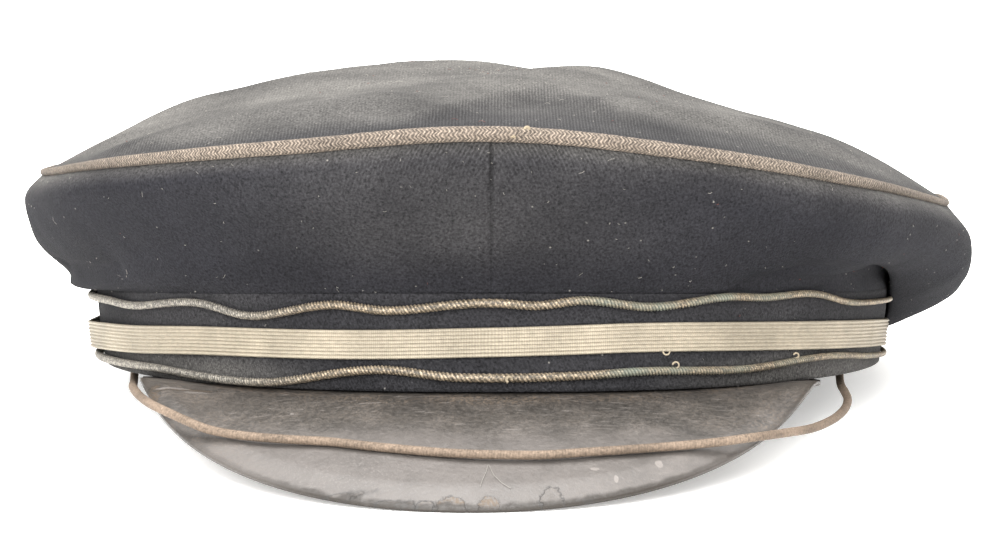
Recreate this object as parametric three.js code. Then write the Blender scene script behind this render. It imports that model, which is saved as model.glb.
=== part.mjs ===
// A soft-crowned visor cap at rest on a table: a wool crown and band, a woven braid round the crown,
// two wavy cords and a ribbed tape round the band, a leather visor and a chin cord lying across it.
// Millimetres, +Z up, the front of the cap toward -Y. Angles are degrees from the front toward +X.

import * as THREE from "three";
import { ParametricGeometry } from "three/addons/geometries/ParametricGeometry.js";
import { mergeGeometries, mergeVertices } from "three/addons/utils/BufferGeometryUtils.js";

// Fit between sewn pieces
const GAP = 0.3;

// Band: an oval a little squarer than an ellipse, lifted at the front by the visor
const HEAD_HALF_WIDTH = 81.3;
const HEAD_HALF_DEPTH = 100;
const HEAD_SQUARENESS = 2.3;
const BAND_WALL = 2.5;
const BAND_FRONT_LIFT = 14.6;
const BAND_FLAT_FROM = 85;
const BAND_HEIGHT = 16;
const BAND_FRONT_EXTRA = 1;
const BAND_SIDE_DIP = 1.3;
const BAND_SIDE_TAPER = 1.8;
const BAND_SIDE_SPREAD = 1.4;

// Cords and tape on the band
const CORD_DIAMETER = 1.7;
const TAPE_WIDTH = 5.5;
const TAPE_THICKNESS = 0.8;
const TAPE_STAND_OFF = 1.6;
const TAPE_STAND_OFF_ANGLE = -80;
const TAPE_STAND_OFF_SPREAD = 22;

// Visor
const VISOR_WALL = 2.2;
const VISOR_HALF_WIDTH = 66.4;
const VISOR_CORNER_Y = -62;
const VISOR_REACH = 81;
const VISOR_PLAN_POWER = 2;
const VISOR_SEAM_ANGLE = 52.5;
const VISOR_TURN = -2;
const VISOR_CURL = 22;
const VISOR_CURL_POWER = 2.2;
const VISOR_CORNER_Z = 9;
const VISOR_CORNER_FROM = 0.66;
const VISOR_CAMBER = 1.5;

// Crown
const CROWN_WALL = 2;
const CROWN_TOP_Z = 66.5;
const CROWN_TOP_POWER = 2.3;
const TOP_FOLD_REACH = 6;
const BRAID_DIAMETER = 3;

// Chin cord: up inside the band at both sides, round the visor's left corner and over the visor
const CHIN_CORD_DIAMETER = 1.7;
const CHIN_CORD_ROUTE = [
  [-72.2, -37.8, 17.5], [-72.1, -38.3, 13.6], [-72, -40, 10.3], [-71.8, -44, 8.2],
  [-71.4, -50, 8.2], [-70.8, -58, 9.2], [-70, -66.5, 10.3], [-69.2, -75, 11.5],
  [-68, -84, 12.3], [-66.4, -92.5, 12.7], [-64.1, -99.8, 12.6], [-60.9, -105.3, 12.1],
  [-53.7, -111, 10], [-49.3, -114.2, 9.4], [-43.5, -117.4, 9.2], [-36.4, -119.9, 9.1],
  [-29.2, -122.2, 9.1], [-22.2, -124.9, 8.8], [-12.6, -128, 8.45], [-5.2, -129.5, 8.2],
  [2, -130, 8.1], [9.3, -129.6, 8], [16.7, -128, 8.2], [24.2, -125.9, 8.3],
  [31.7, -123.4, 8.4], [40.8, -120.2, 8.65], [47.9, -116.9, 9], [53.8, -110.2, 8.6],
  [59.8, -99.8, 7.7], [64.6, -88, 7.3], [67.9, -76, 7.2], [69.5, -66, 7.5],
  [69.6, -58, 7.8], [69.3, -52.3, 8.3], [69.3, -48.6, 10], [69.2, -46.9, 13.5],
  [69.2, -46.3, 17.5],
];

// Steps that the surfaces are drawn with
const ROUND_STEPS = 72;
const BAND_ROWS = 3;
const TAPE_ROWS = 1;
const CROWN_HALF_STEPS = 26;
const CROWN_SIDE_ROWS = 11;
const CROWN_TOP_STEPS = 60;
const CROWN_TOP_ROWS = 9;
const VISOR_STEPS = 36;
const VISOR_ROWS = 5;
const CORD_STEPS = 90;
const CORD_SIDES = 6;
const BRAID_SIDES = 8;
const CHIN_CORD_STEPS = 58;
const CHIN_CORD_SIDES = 8;

// Crown side sections: how far out from the band, and how high above the table,
// the cloth tucks over the band, hangs lowest, bellies out, turns in and meets the rim
const CROWN_SECTION = "tuckOut tuckZ hemOut hemZ bellyOut bellyZ shoulderOut shoulderZ rimOut rimZ";
const CROWN_SECTIONS = [
  [-180, 3.4, 15.0, 6.5, 10.5, 15.0, 17.0, 17.0, 27.0, 12.0, 36.0],
  [-135, 3.4, 18.0, 6.0, 17.0, 14.0, 22.0, 16.5, 31.0, 8.0, 38.0],
  [-105, 5.0, 21.0, 7.0, 22.8, 13.5, 29.0, 15.2, 38.0, 9.0, 43.0],
  [-90, 5.6, 22.0, 7.4, 24.4, 13.8, 30.6, 15.6, 40.0, 11.2, 45.6],
  [-70, 2.6, 26.0, 6.0, 31.0, 12.4, 37.8, 15.4, 45.0, 11.6, 49.4],
  [-45, 2.0, 32.0, 6.0, 39.0, 11.5, 46.0, 15.0, 51.5, 12.0, 55.5],
  [-20, 2.0, 36.0, 7.0, 43.5, 12.0, 51.0, 14.0, 57.0, 12.0, 60.7],
  [0, 2.0, 37.0, 7.0, 45.0, 12.0, 53.0, 13.5, 59.5, 11.0, 63.5],
  [20, 2.0, 35.5, 7.0, 43.0, 12.0, 50.5, 14.0, 56.0, 12.0, 59.6],
  [45, 0.8, 32.5, 4.5, 34.0, 12.5, 40.5, 15.5, 47.0, 12.0, 51.6],
  [65, 0.6, 31.5, 4.5, 30.5, 14.0, 34.0, 16.5, 40.5, 11.5, 45.2],
  [80, 1.6, 27.0, 6.0, 22.5, 16.0, 26.0, 18.0, 34.0, 12.6, 41.0],
  [92, 3.6, 18.5, 8.0, 11.5, 15.8, 18.0, 18.0, 29.5, 13.2, 39.0],
  [105, 3.8, 16.5, 8.0, 8.8, 15.5, 15.6, 18.0, 26.5, 11.2, 36.0],
  [145, 3.6, 15.0, 6.5, 8.0, 15.5, 15.0, 17.0, 25.5, 10.5, 35.5],
];

// Folds of the crown's top: a soft ridge (or dip, if negative) along a line between two places
const TOP_FOLD = "fromX fromY toX toY rise width";
const TOP_FOLDS = [
  [-80, -24, -68, 6, 1.9, 12],
  [-72, -58, -26, -68, 2.2, 13],
  [-22, -62, 8, -12, 1.2, 12],
  [14, 0, 24, 16, 1.4, 12],
  [2, -6, 14, 34, -1.0, 8],
  [-34, 10, -16, 30, 1.8, 20],
  [-62, 0, -46, 14, 1.0, 12],
  [24, -55, 66, -34, 1.2, 8],
  [40, -62, 72, -46, -1.0, 7],
  [40, -20, 50, 20, -1.3, 20],
  [80, -25, 82, 15, 3.0, 12],
];

// Heights above the band's lower edge
const UPPER_CORD_HEIGHTS = [
  [-180, 12.6],
  [-100, 12.6],
  [-66, 14.0],
  [-56.5, 13.8],
  [-40, 15.5],
  [-30.5, 13.6],
  [-18, 16.2],
  [-11, 15.3],
  [0, 16.8],
  [4, 16.3],
  [9.5, 17.2],
  [18, 15.8],
  [29.5, 17.2],
  [36, 16.8],
  [46, 16.9],
  [56, 14.5],
  [69, 13.5],
  [90, 12.6],
];
const LOWER_CORD_HEIGHTS = [
  [-180, 1.5],
  [-90, 1.1],
  [-64, 2.4],
  [-50, 2.2],
  [-40, 1.8],
  [-33, 1.2],
  [-27, 1.2],
  [-12, 4.2],
  [-3, 2.9],
  [10, 3.2],
  [16.5, 3.7],
  [33, 3.3],
  [46, 4.3],
  [53, 4.2],
  [66, 2.8],
  [90, 1.1],
];
const TAPE_HEIGHTS = [
  [-180, 5.6],
  [-90, 4.9],
  [-69, 6.5],
  [-57, 7.1],
  [-40, 8.2],
  [-13, 8.8],
  [7, 9.7],
  [17, 10.0],
  [37, 9.3],
  [71, 6.9],
  [90, 5.0],
];

const UP = new THREE.Vector3(0, 0, 1);
const BAND_SLOPE = BAND_FRONT_LIFT / (BAND_FLAT_FROM + HEAD_HALF_DEPTH);
const BAND_TILT = Math.atan(BAND_SLOPE);

// Smooth curve through a table's rows, all the way round the head
function around(columns, rows) {
  const names = columns.split(" ");
  const [firstAngle, ...firstValues] = rows[0];
  const closed = [...rows, [firstAngle + 360, ...firstValues]];
  const angles = closed.map((row) => row[0]);
  const values = closed.flatMap((row) => row.slice(1));
  const curve = new THREE.CubicInterpolant(angles, values, names.length, new Array(names.length));
  curve.settings = { endingStart: THREE.WrapAroundEnding, endingEnd: THREE.WrapAroundEnding };
  return (angle) => {
    const found = curve.evaluate(angle);
    return Object.fromEntries(names.map((name, index) => [name, found[index]]));
  };
}

// Power that keeps the sign, for the squared-off ovals
function signedPower(value, power) {
  return Math.sign(value) * Math.abs(value) ** power;
}

// Place on the band's outer oval, moved straight out from it
function onHead(angle, out, z) {
  const turn = THREE.MathUtils.degToRad(angle);
  const power = 2 / HEAD_SQUARENESS;
  const x = HEAD_HALF_WIDTH * signedPower(Math.sin(turn), power);
  const y = -HEAD_HALF_DEPTH * signedPower(Math.cos(turn), power);
  const outward = new THREE.Vector3(
    signedPower(x / HEAD_HALF_WIDTH, HEAD_SQUARENESS - 1) / HEAD_HALF_WIDTH,
    signedPower(y / HEAD_HALF_DEPTH, HEAD_SQUARENESS - 1) / HEAD_HALF_DEPTH,
    0,
  ).normalize();
  return new THREE.Vector3(x, y, z).addScaledVector(outward, out);
}

// Height of the band's lower edge, and of its upper edge above that
function bandLow(angle) {
  const behindFront = onHead(angle, 0, 0).y + HEAD_HALF_DEPTH;
  return Math.max(0, BAND_FRONT_LIFT - BAND_SLOPE * behindFront);
}

function bandHeight(angle) {
  const turn = THREE.MathUtils.degToRad(angle);
  return BAND_HEIGHT + BAND_FRONT_EXTRA * Math.cos(turn) + BAND_SIDE_DIP * Math.cos(2 * turn);
}

// How much wider than the oval the worn band is at its sides
function sideSpread(angle) {
  return BAND_SIDE_SPREAD * Math.sin(THREE.MathUtils.degToRad(angle)) ** 8;
}

// Place on the band wall, which leans back with the cap and draws in at the sides toward its lower edge
function onBand(angle, out, height) {
  const side = Math.sin(THREE.MathUtils.degToRad(angle)) ** 2;
  const drawnIn = BAND_SIDE_TAPER * side * (1 - height / bandHeight(angle));
  const away = out + sideSpread(angle) - drawnIn;
  const place = onHead(angle, away, bandLow(angle) + height * Math.cos(BAND_TILT));
  place.y += height * Math.sin(BAND_TILT);
  return place;
}

// One surface of u and v
function patch(place, across, along) {
  const surface = new ParametricGeometry((u, v, target) => target.copy(place(u, v)), across, along);
  surface.deleteAttribute("normal");
  surface.deleteAttribute("uv");
  return surface;
}

// Closed body: shared corners merged, and triangles with no area left out
function closed(geometry) {
  const body = mergeVertices(geometry);
  const corners = body.index.array;
  const kept = [];
  for (let start = 0; start < corners.length; start += 3) {
    const [a, b, c] = corners.slice(start, start + 3);
    if (a !== b && b !== c && c !== a) {
      kept.push(a, b, c);
    }
  }
  body.setIndex(kept);
  body.computeVertexNormals();
  return body;
}

// Closed wall between an outside and an inside surface of u and v, with its edges filled in
function wall(outside, inside, across, along, { wraps = false } = {}) {
  const outer = wraps ? (u, v) => outside(u % 1, v) : outside;
  const inner = wraps ? (u, v) => inside(u % 1, v) : inside;
  const faces = [
    patch(outer, across, along),
    patch((u, v) => inner(1 - u, v), across, along),
    patch((u, w) => (w < 0.5 ? inner(u, 0) : outer(u, 0)), across, 1),
    patch((u, w) => (w < 0.5 ? outer(u, 1) : inner(u, 1)), across, 1),
  ];
  if (!wraps) {
    faces.push(patch((w, v) => (w < 0.5 ? inner(0, v) : outer(0, v)), 1, along));
    faces.push(patch((w, v) => (w < 0.5 ? outer(1, v) : inner(1, v)), 1, along));
  }
  return closed(mergeGeometries(faces));
}

// Curve that a function of the angle draws round the head
class HeadLoop extends THREE.Curve {
  constructor(place) {
    super();
    this.place = place;
  }

  getPoint(t, target = new THREE.Vector3()) {
    return target.copy(this.place((t % 1) * 360 - 180));
  }
}

// Round cord that closes on itself
function loopCord(place, diameter, steps, sides) {
  const cord = new THREE.TubeGeometry(new HeadLoop(place), steps, diameter / 2, sides, true);
  cord.deleteAttribute("normal");
  cord.deleteAttribute("uv");
  return closed(cord);
}

// Round cord with two ends
function freeCord(route, diameter, steps, sides) {
  const section = new THREE.Shape().absarc(0, 0, diameter / 2, 0, 2 * Math.PI);
  const extrudePath = new THREE.CatmullRomCurve3(route.map((point) => new THREE.Vector3(...point)));
  const cord = new THREE.ExtrudeGeometry(section, { steps, curveSegments: sides / 2, extrudePath });
  cord.deleteAttribute("normal");
  cord.deleteAttribute("uv");
  return closed(cord);
}

// Band
function bandGeometry() {
  const face = (out) => (u, v) => {
    const angle = u * 360 - 180;
    return onBand(angle, out, v * bandHeight(angle));
  };
  return wall(face(0), face(-BAND_WALL), ROUND_STEPS, BAND_ROWS, { wraps: true });
}

// Tape round the band, standing off it at the viewer's left
const tapeAt = around("height", TAPE_HEIGHTS);

function tapeGeometry() {
  const face = (thickness) => (u, v) => {
    const angle = u * 360 - 180;
    const off = (angle - TAPE_STAND_OFF_ANGLE) / TAPE_STAND_OFF_SPREAD;
    const out = GAP + TAPE_STAND_OFF * Math.exp(-off * off) + thickness;
    return onBand(angle, out, tapeAt(angle).height + TAPE_WIDTH * (v - 0.5));
  };
  return wall(face(TAPE_THICKNESS), face(0), ROUND_STEPS, TAPE_ROWS, { wraps: true });
}

// Wavy cords round the band
function bandCordGeometry(heights) {
  const cordAt = around("height", heights);
  const place = (angle) => onBand(angle, GAP + CORD_DIAMETER / 2, cordAt(angle).height);
  return loopCord(place, CORD_DIAMETER, CORD_STEPS, CORD_SIDES);
}

// Crown: places are on a section through the head at an angle
const sectionAt = around(CROWN_SECTION, CROWN_SECTIONS);
const CROWN_BACK = BAND_HEIGHT * Math.sin(BAND_TILT);
const SEAM_HALF_ANGLE = 0.05;

function onCrown(angle, { x: out, y: z }) {
  const place = onHead(angle, out, z);
  place.y += CROWN_BACK;
  return place;
}

function crownSection(angle) {
  const row = sectionAt(angle);
  const seamZ = bandLow(angle) + bandHeight(angle) * Math.cos(BAND_TILT) + GAP;
  return new THREE.SplineCurve([
    new THREE.Vector2(sideSpread(angle), seamZ),
    new THREE.Vector2(row.tuckOut + sideSpread(angle), row.tuckZ),
    new THREE.Vector2(row.hemOut, row.hemZ),
    new THREE.Vector2(row.bellyOut, row.bellyZ),
    new THREE.Vector2(row.shoulderOut, row.shoulderZ),
    new THREE.Vector2(row.rimOut, row.rimZ),
  ]);
}

// Direction straight out of the cloth on a section
function outOfCloth(section, v) {
  const along = section.getTangent(v);
  return new THREE.Vector2(along.y, -along.x);
}

function crownSideGeometry(fromAngle, toAngle) {
  const face = (depth) => (u, v) => {
    const angle = THREE.MathUtils.lerp(fromAngle, toAngle, u);
    const section = crownSection(angle);
    const place = section.getPoint(v).addScaledVector(outOfCloth(section, v), -depth);
    return onCrown(angle, place);
  };
  return wall(face(0), face(CROWN_WALL), CROWN_HALF_STEPS, CROWN_SIDE_ROWS);
}

// Rise of the top's folds at a place seen from above
const topFolds = TOP_FOLDS.map((row) => {
  const names = TOP_FOLD.split(" ");
  return Object.fromEntries(names.map((name, index) => [name, row[index]]));
});

function foldRise(x, y) {
  const here = new THREE.Vector3(x, y, 0);
  let rise = 0;
  for (const fold of topFolds) {
    const line = new THREE.Line3(
      new THREE.Vector3(fold.fromX, fold.fromY, 0),
      new THREE.Vector3(fold.toX, fold.toY, 0),
    );
    const away = line.closestPointToPoint(here, true, new THREE.Vector3()).distanceTo(here);
    rise += fold.rise * Math.exp(-((away / fold.width) ** 2));
  }
  return rise;
}

// Rim of the top panel: along the side panel's upper edge, a gap away
function rimEdge(angle, depth) {
  const section = crownSection(angle);
  const place = section.getPoint(1).addScaledVector(outOfCloth(section, 1), -depth);
  return onCrown(angle, place.addScaledVector(section.getTangent(1), GAP));
}

function crownTopGeometry() {
  const face = (depth) => (u, v) => {
    const angle = u * 360 - 180;
    if (v === 0) {
      return rimEdge(angle, depth);
    }
    const rim = rimEdge(angle, 0);
    const fromCentre = 1 - v;
    const fall = fromCentre ** CROWN_TOP_POWER;
    const place = new THREE.Vector3(rim.x * fromCentre, rim.y * fromCentre, 0);
    place.z = THREE.MathUtils.lerp(CROWN_TOP_Z, rim.z, fall);
    place.z += foldRise(place.x, place.y) * (1 - fromCentre ** TOP_FOLD_REACH);
    return place.addScaledVector(UP, -depth);
  };
  return wall(face(0), face(CROWN_WALL), CROWN_TOP_STEPS, CROWN_TOP_ROWS, { wraps: true });
}

// Braid over the seam between the top and the sides
function braidGeometry() {
  const place = (angle) => {
    const section = crownSection(angle);
    const proud = BRAID_DIAMETER / 2 + GAP;
    return onCrown(angle, section.getPoint(1).addScaledVector(outOfCloth(section, 1), proud));
  };
  return loopCord(place, BRAID_DIAMETER, CORD_STEPS, BRAID_SIDES);
}

// Visor: ruled from under the band to its outer edge, which curls up toward the corners
function onVisor(across, forward, thickness) {
  const seamAngle = across * VISOR_SEAM_ANGLE + VISOR_TURN;
  const seam = onHead(seamAngle, -BAND_WALL, bandLow(seamAngle) - GAP - VISOR_WALL);
  const turn = (across * Math.PI) / 2;
  const power = 2 / VISOR_PLAN_POWER;
  const curl = VISOR_CURL * Math.abs(across) ** VISOR_CURL_POWER;
  const nearCorner = THREE.MathUtils.smoothstep(Math.abs(across), VISOR_CORNER_FROM, 1);
  const edge = new THREE.Vector3(
    VISOR_HALF_WIDTH * signedPower(Math.sin(turn), power),
    VISOR_CORNER_Y - VISOR_REACH * signedPower(Math.cos(turn), power),
    THREE.MathUtils.lerp(curl, VISOR_CORNER_Z, nearCorner),
  ).applyAxisAngle(UP, THREE.MathUtils.degToRad(VISOR_TURN));
  const place = seam.lerp(edge, forward);
  place.z += VISOR_CAMBER * Math.sin(Math.PI * forward) * (1 - across ** 2) ** 2 + thickness;
  return place;
}

function visorGeometry() {
  const face = (thickness) => (u, v) => onVisor(u * 2 - 1, 1 - v, thickness);
  return wall(face(VISOR_WALL), face(0), VISOR_STEPS, VISOR_ROWS);
}

const cap = new THREE.Group();

function addPiece(name, geometry, color, roughness, metalness = 0) {
  const piece = new THREE.Mesh(geometry, new THREE.MeshStandardMaterial({ color, roughness, metalness }));
  piece.name = name;
  cap.add(piece);
}

addPiece("band", bandGeometry(), 0x3a383b, 0.95);
addPiece("band_tape", tapeGeometry(), 0xcdc0a9, 0.8);
addPiece("upper_cord", bandCordGeometry(UPPER_CORD_HEIGHTS), 0x8c8474, 0.55, 0.5);
addPiece("lower_cord", bandCordGeometry(LOWER_CORD_HEIGHTS), 0x8c8474, 0.55, 0.5);
addPiece("crown_side_left", crownSideGeometry(-180 + SEAM_HALF_ANGLE, -SEAM_HALF_ANGLE), 0x353438, 0.95);
addPiece("crown_side_right", crownSideGeometry(SEAM_HALF_ANGLE, 180 - SEAM_HALF_ANGLE), 0x353438, 0.95);
addPiece("crown_top", crownTopGeometry(), 0x4a484a, 0.95);
addPiece("crown_braid", braidGeometry(), 0x8a7c70, 0.85);
addPiece("visor", visorGeometry(), 0x6e6964, 0.6);

// The origin is under the middle of the cap, which the loose chin cord doesn't shift
const box = new THREE.Box3().setFromObject(cap);
const middle = box.getCenter(new THREE.Vector3());
cap.position.set(-middle.x, -middle.y, -box.min.z);

const chinCord = freeCord(CHIN_CORD_ROUTE, CHIN_CORD_DIAMETER, CHIN_CORD_STEPS, CHIN_CORD_SIDES);
addPiece("chin_cord", chinCord, 0x9a8f84, 0.9);

export default cap;
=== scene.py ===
"""Looks of a worn wool visor cap: felted cloth, woven braid, twisted cords, ribbed tape, scuffed leather."""

import math
from functools import partial

import bmesh
import bpy
import numpy as np
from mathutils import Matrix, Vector, noise


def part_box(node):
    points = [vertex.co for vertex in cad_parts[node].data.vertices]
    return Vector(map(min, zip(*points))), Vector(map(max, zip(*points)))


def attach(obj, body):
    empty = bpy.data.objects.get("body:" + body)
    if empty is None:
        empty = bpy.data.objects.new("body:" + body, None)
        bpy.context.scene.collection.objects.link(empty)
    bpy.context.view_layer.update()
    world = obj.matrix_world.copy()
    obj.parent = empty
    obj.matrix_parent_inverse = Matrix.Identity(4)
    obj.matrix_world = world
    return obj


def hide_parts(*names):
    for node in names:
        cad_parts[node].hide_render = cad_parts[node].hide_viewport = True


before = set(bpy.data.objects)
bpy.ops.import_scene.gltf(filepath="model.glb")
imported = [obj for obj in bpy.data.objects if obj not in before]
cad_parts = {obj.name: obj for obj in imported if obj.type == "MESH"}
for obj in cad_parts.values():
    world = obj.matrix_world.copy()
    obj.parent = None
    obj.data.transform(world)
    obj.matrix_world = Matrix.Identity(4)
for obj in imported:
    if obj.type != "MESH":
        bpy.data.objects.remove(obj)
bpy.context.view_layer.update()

bl_info = {
    "name": "Worn visor cap",
    "version": (1, 0, 0),
    "blender": (4, 5, 0),
    "location": "View3D > Sidebar > Cap",
    "description": "Builds the cloth, cords, tape and leather of a worn visor cap round its solids",
    "category": "Object",
}

MM = 0.001

# Sizes that the solids have too, in millimetres, with the cap's front toward -Y
GAP = 0.3
HEAD_HALF_WIDTH = 81.3
HEAD_HALF_DEPTH = 100.0
HEAD_SQUARENESS = 2.3
BAND_WALL = 2.5
BAND_FRONT_LIFT = 14.6
BAND_FLAT_FROM = 85.0
BAND_HEIGHT = 16.0
BAND_FRONT_EXTRA = 1.0
BAND_SIDE_DIP = 1.3
BAND_SIDE_TAPER = 1.8
BAND_SIDE_SPREAD = 1.4
BAND_SLOPE = BAND_FRONT_LIFT / (BAND_FLAT_FROM + HEAD_HALF_DEPTH)
BAND_TILT = math.atan(BAND_SLOPE)
CORD_DIAMETER = 1.7
TAPE_WIDTH = 5.5
TAPE_THICKNESS = 0.8
TAPE_STAND_OFF = 1.6
TAPE_STAND_OFF_ANGLE = -80.0
TAPE_STAND_OFF_SPREAD = 22.0
VISOR_WALL = 2.2
VISOR_HALF_WIDTH = 66.4
VISOR_CORNER_Y = -62.0
VISOR_REACH = 81.0
VISOR_SEAM_ANGLE = 52.5
VISOR_TURN = -2.0
VISOR_CURL = 22.0
VISOR_CURL_POWER = 2.2
VISOR_CORNER_Z = 9.0
VISOR_CORNER_FROM = 0.66
VISOR_CAMBER = 1.5
CROWN_WALL = 2.0
CROWN_TOP_Z = 66.5
CROWN_TOP_POWER = 2.3
CROWN_BACK = BAND_HEIGHT * math.sin(BAND_TILT)
TOP_FOLD_REACH = 6.0
BRAID_DIAMETER = 3.0
CHIN_CORD_DIAMETER = 1.7

# Sizes of the finish alone: where the tape is joined, how thick the visor's edge is, how far the band reaches
# up into the crown and the crown's hem turns in, and by what share the braid and cords thin out at the sides
TAPE_JOINT_ANGLE = 66.0
VISOR_EDGE = 0.9
SEAM_TUCK = 0.5
HEM_TUCK = 0.4
BRAID_SIDE_THINNING = 0.52
CORD_SIDE_THINNING = 0.4

# Where the middle of the band's oval lies in the frame
BAND_LOW, BAND_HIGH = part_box("band")
CAP_MIDDLE = np.array([(BAND_LOW.x + BAND_HIGH.x) / 2 / MM, BAND_LOW.y / MM + HEAD_HALF_DEPTH, 0.0])

# Bright soft light, as in a light tent: less from the sides than from above, and a lit floor
HORIZON_LIGHT = 0.75
SKY_LIGHT = 3.75
FLOOR_GLOW = 0.4
FLOOR_HALF_SIDE = 3.0
FLOOR_DROP = 0.1

# Soft square lamps, aimed at the origin: name, place and side in metres, power in watts
LAMPS = [
    ("overhead", (-0.1, -0.2, 1.2), 0.9, 34.0),
    ("front", (-0.25, -1.28, 0.6), 0.7, 38.0),
]

# Green tarnish of the band's cords, along x: where it starts, is full, starts to thin and is thin
TARNISH_FROM = 12.0
TARNISH_FULL = 24.0
TARNISH_THINS = 42.0
TARNISH_THIN = 60.0
TARNISH_GREEN = "5f665c"

# Silver grey end of the same cords, where less has worn off, along x
SILVER_FROM = -34.0
SILVER_FULL = -52.0
SILVER_TINT = (1.38, 1.33, 1.2)

# Height of one row of the braid's stitches, round the braid, and how proud of its seam the braid lies, in
# shares of its radius, at the front and at the sides
BRAID_ROW = 0.78
BRAID_PROUD = 0.65
BRAID_SIDE_PROUD = 0.25

# Strands of the band's cords: their number, the share of the radius in the grooves between them, and how far
# they stand out of it
CORD_STRANDS = 3
CORD_CORE = 0.74
CORD_LOBE = 0.3

# Share of the chin cord's radius by which a wind of thread stands out and sinks
WIND_DEPTH = 0.02

# Cross threads of the tape, the depth of its grooves as a share of its thickness, and the brown in them
WEFT_SPACING = 0.42
TAPE_GROOVE = 0.45
TAPE_STAIN = "6a5f4d"

# Colours of lint and of loose thread: what most of it has, and what some of it has
LINT_COLOURS = ("716e69", "54302b")
THREAD_COLOURS = ("857b6a", "6b6151")

# Camera: a long lens in front of the cap, a little above it
PHOTO_WIDTH = 1000
CAMERA_FOCAL_PIXELS = 4029
CAMERA_ELEVATION = 7.5
CAMERA_DISTANCE = 850.0
CAMERA_AIM = np.array([1.6, 0.0, 24.9])

# Chin cord: up inside the band at both sides, round the visor's left corner and over the visor
CHIN_CORD_ROUTE = [
    (-72.2, -37.8, 17.5), (-72.1, -38.3, 13.6), (-72.0, -40.0, 10.3), (-71.8, -44.0, 8.2),
    (-71.4, -50.0, 8.2), (-70.8, -58.0, 9.2), (-70.0, -66.5, 10.3), (-69.2, -75.0, 11.5),
    (-68.0, -84.0, 12.3), (-66.4, -92.5, 12.7), (-64.1, -99.8, 12.6), (-60.9, -105.3, 12.1),
    (-53.7, -111.0, 10.0), (-49.3, -114.2, 9.4), (-43.5, -117.4, 9.2), (-36.4, -119.9, 9.1),
    (-29.2, -122.2, 9.1), (-22.2, -124.9, 8.8), (-12.6, -128.0, 8.45), (-5.2, -129.5, 8.2),
    (2.0, -130.0, 8.1), (9.3, -129.6, 8.0), (16.7, -128.0, 8.2), (24.2, -125.9, 8.3),
    (31.7, -123.4, 8.4), (40.8, -120.2, 8.65), (47.9, -116.9, 9.0), (53.8, -110.2, 8.6),
    (59.8, -99.8, 7.7), (64.6, -88.0, 7.3), (67.9, -76.0, 7.2), (69.5, -66.0, 7.5),
    (69.6, -58.0, 7.8), (69.3, -52.3, 8.3), (69.3, -48.6, 10.0), (69.2, -46.9, 13.5),
    (69.2, -46.3, 17.5),
]

# Crown side sections at an angle from the front: how far out from the band, and how high above the table,
# the cloth tucks over the band, hangs lowest, bellies out, turns in and meets the rim (out, height for each)
CROWN_SECTIONS = [
    (-180, 3.4, 15.0, 6.5, 10.5, 15.0, 17.0, 17.0, 27.0, 12.0, 36.0),
    (-135, 3.4, 18.0, 6.0, 17.0, 14.0, 22.0, 16.5, 31.0, 8.0, 38.0),
    (-105, 5.0, 21.0, 7.0, 22.8, 13.5, 29.0, 15.2, 38.0, 9.0, 43.0),
    (-90, 5.6, 22.0, 7.4, 24.4, 13.8, 30.6, 15.6, 40.0, 11.2, 45.6),
    (-70, 2.6, 26.0, 6.0, 31.0, 12.4, 37.8, 15.4, 45.0, 11.6, 49.4),
    (-45, 2.0, 32.0, 6.0, 39.0, 11.5, 46.0, 15.0, 51.5, 12.0, 55.5),
    (-20, 2.0, 36.0, 7.0, 43.5, 12.0, 51.0, 14.0, 57.0, 12.0, 60.7),
    (0, 2.0, 37.0, 7.0, 45.0, 12.0, 53.0, 13.5, 59.5, 11.0, 63.5),
    (20, 2.0, 35.5, 7.0, 43.0, 12.0, 50.5, 14.0, 56.0, 12.0, 59.6),
    (45, 0.8, 32.5, 4.5, 34.0, 12.5, 40.5, 15.5, 47.0, 12.0, 51.6),
    (65, 0.6, 31.5, 4.5, 30.5, 14.0, 34.0, 16.5, 40.5, 11.5, 45.2),
    (80, 0.9, 26.5, 2.4, 20.8, 16.0, 25.5, 18.0, 34.0, 12.6, 41.0),
    (92, 0.8, 17.5, 2.0, 11.3, 15.6, 18.0, 18.0, 29.5, 13.2, 39.0),
    (105, 1.2, 15.5, 2.8, 9.0, 15.4, 15.6, 18.0, 26.5, 11.2, 36.0),
    (145, 3.6, 15.0, 6.5, 8.0, 15.5, 15.0, 17.0, 25.5, 10.5, 35.5),
]

# Creases of the crown's sides: the places that each runs through, its width and its depth
CROWN_CREASES = [
    ([(47.1, -85.5, 32.2), (53.0, -82.1, 33.7), (58.8, -80.6, 35.2), (66.0, -74.6, 34.8), (74.0, -61.1, 32.8),
      (81.1, -20.3, 26.2)], 2.2, 0.9),
    ([(-88.0, -24.0, 28.6), (-85.0, -32.0, 29.0), (-79.0, -47.0, 31.0), (-73.0, -60.0, 33.5)], 2.0, 0.8),
]

# Groove at the seams of the crown's sides: its depth, and half its width in degrees
SEAM_GROOVE = 0.35
SEAM_GROOVE_ANGLE = 0.25

# How far the ribs of the twill lean over as they go up
CROWN_TWILL_LEAN = 0.35
BAND_TWILL_LEAN = 0.5

# Folds of the crown's top: a line from x, y to x, y, then its rise (a dip if negative) and its width
TOP_FOLDS = [
    (-80, -24, -68, 6, 1.9, 12),
    (-72, -58, -26, -68, 2.2, 13),
    (-22, -62, 8, -12, 1.2, 12),
    (14, 0, 24, 16, 1.4, 12),
    (2, -6, 14, 34, -1.0, 8),
    (-34, 10, -16, 30, 1.8, 20),
    (-62, 0, -46, 14, 1.0, 12),
    (24, -55, 66, -34, 1.2, 8),
    (40, -62, 72, -46, -1.0, 7),
    (40, -20, 50, 20, -1.5, 20),
    (80, -25, 82, 15, 0.6, 12),
]

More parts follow.
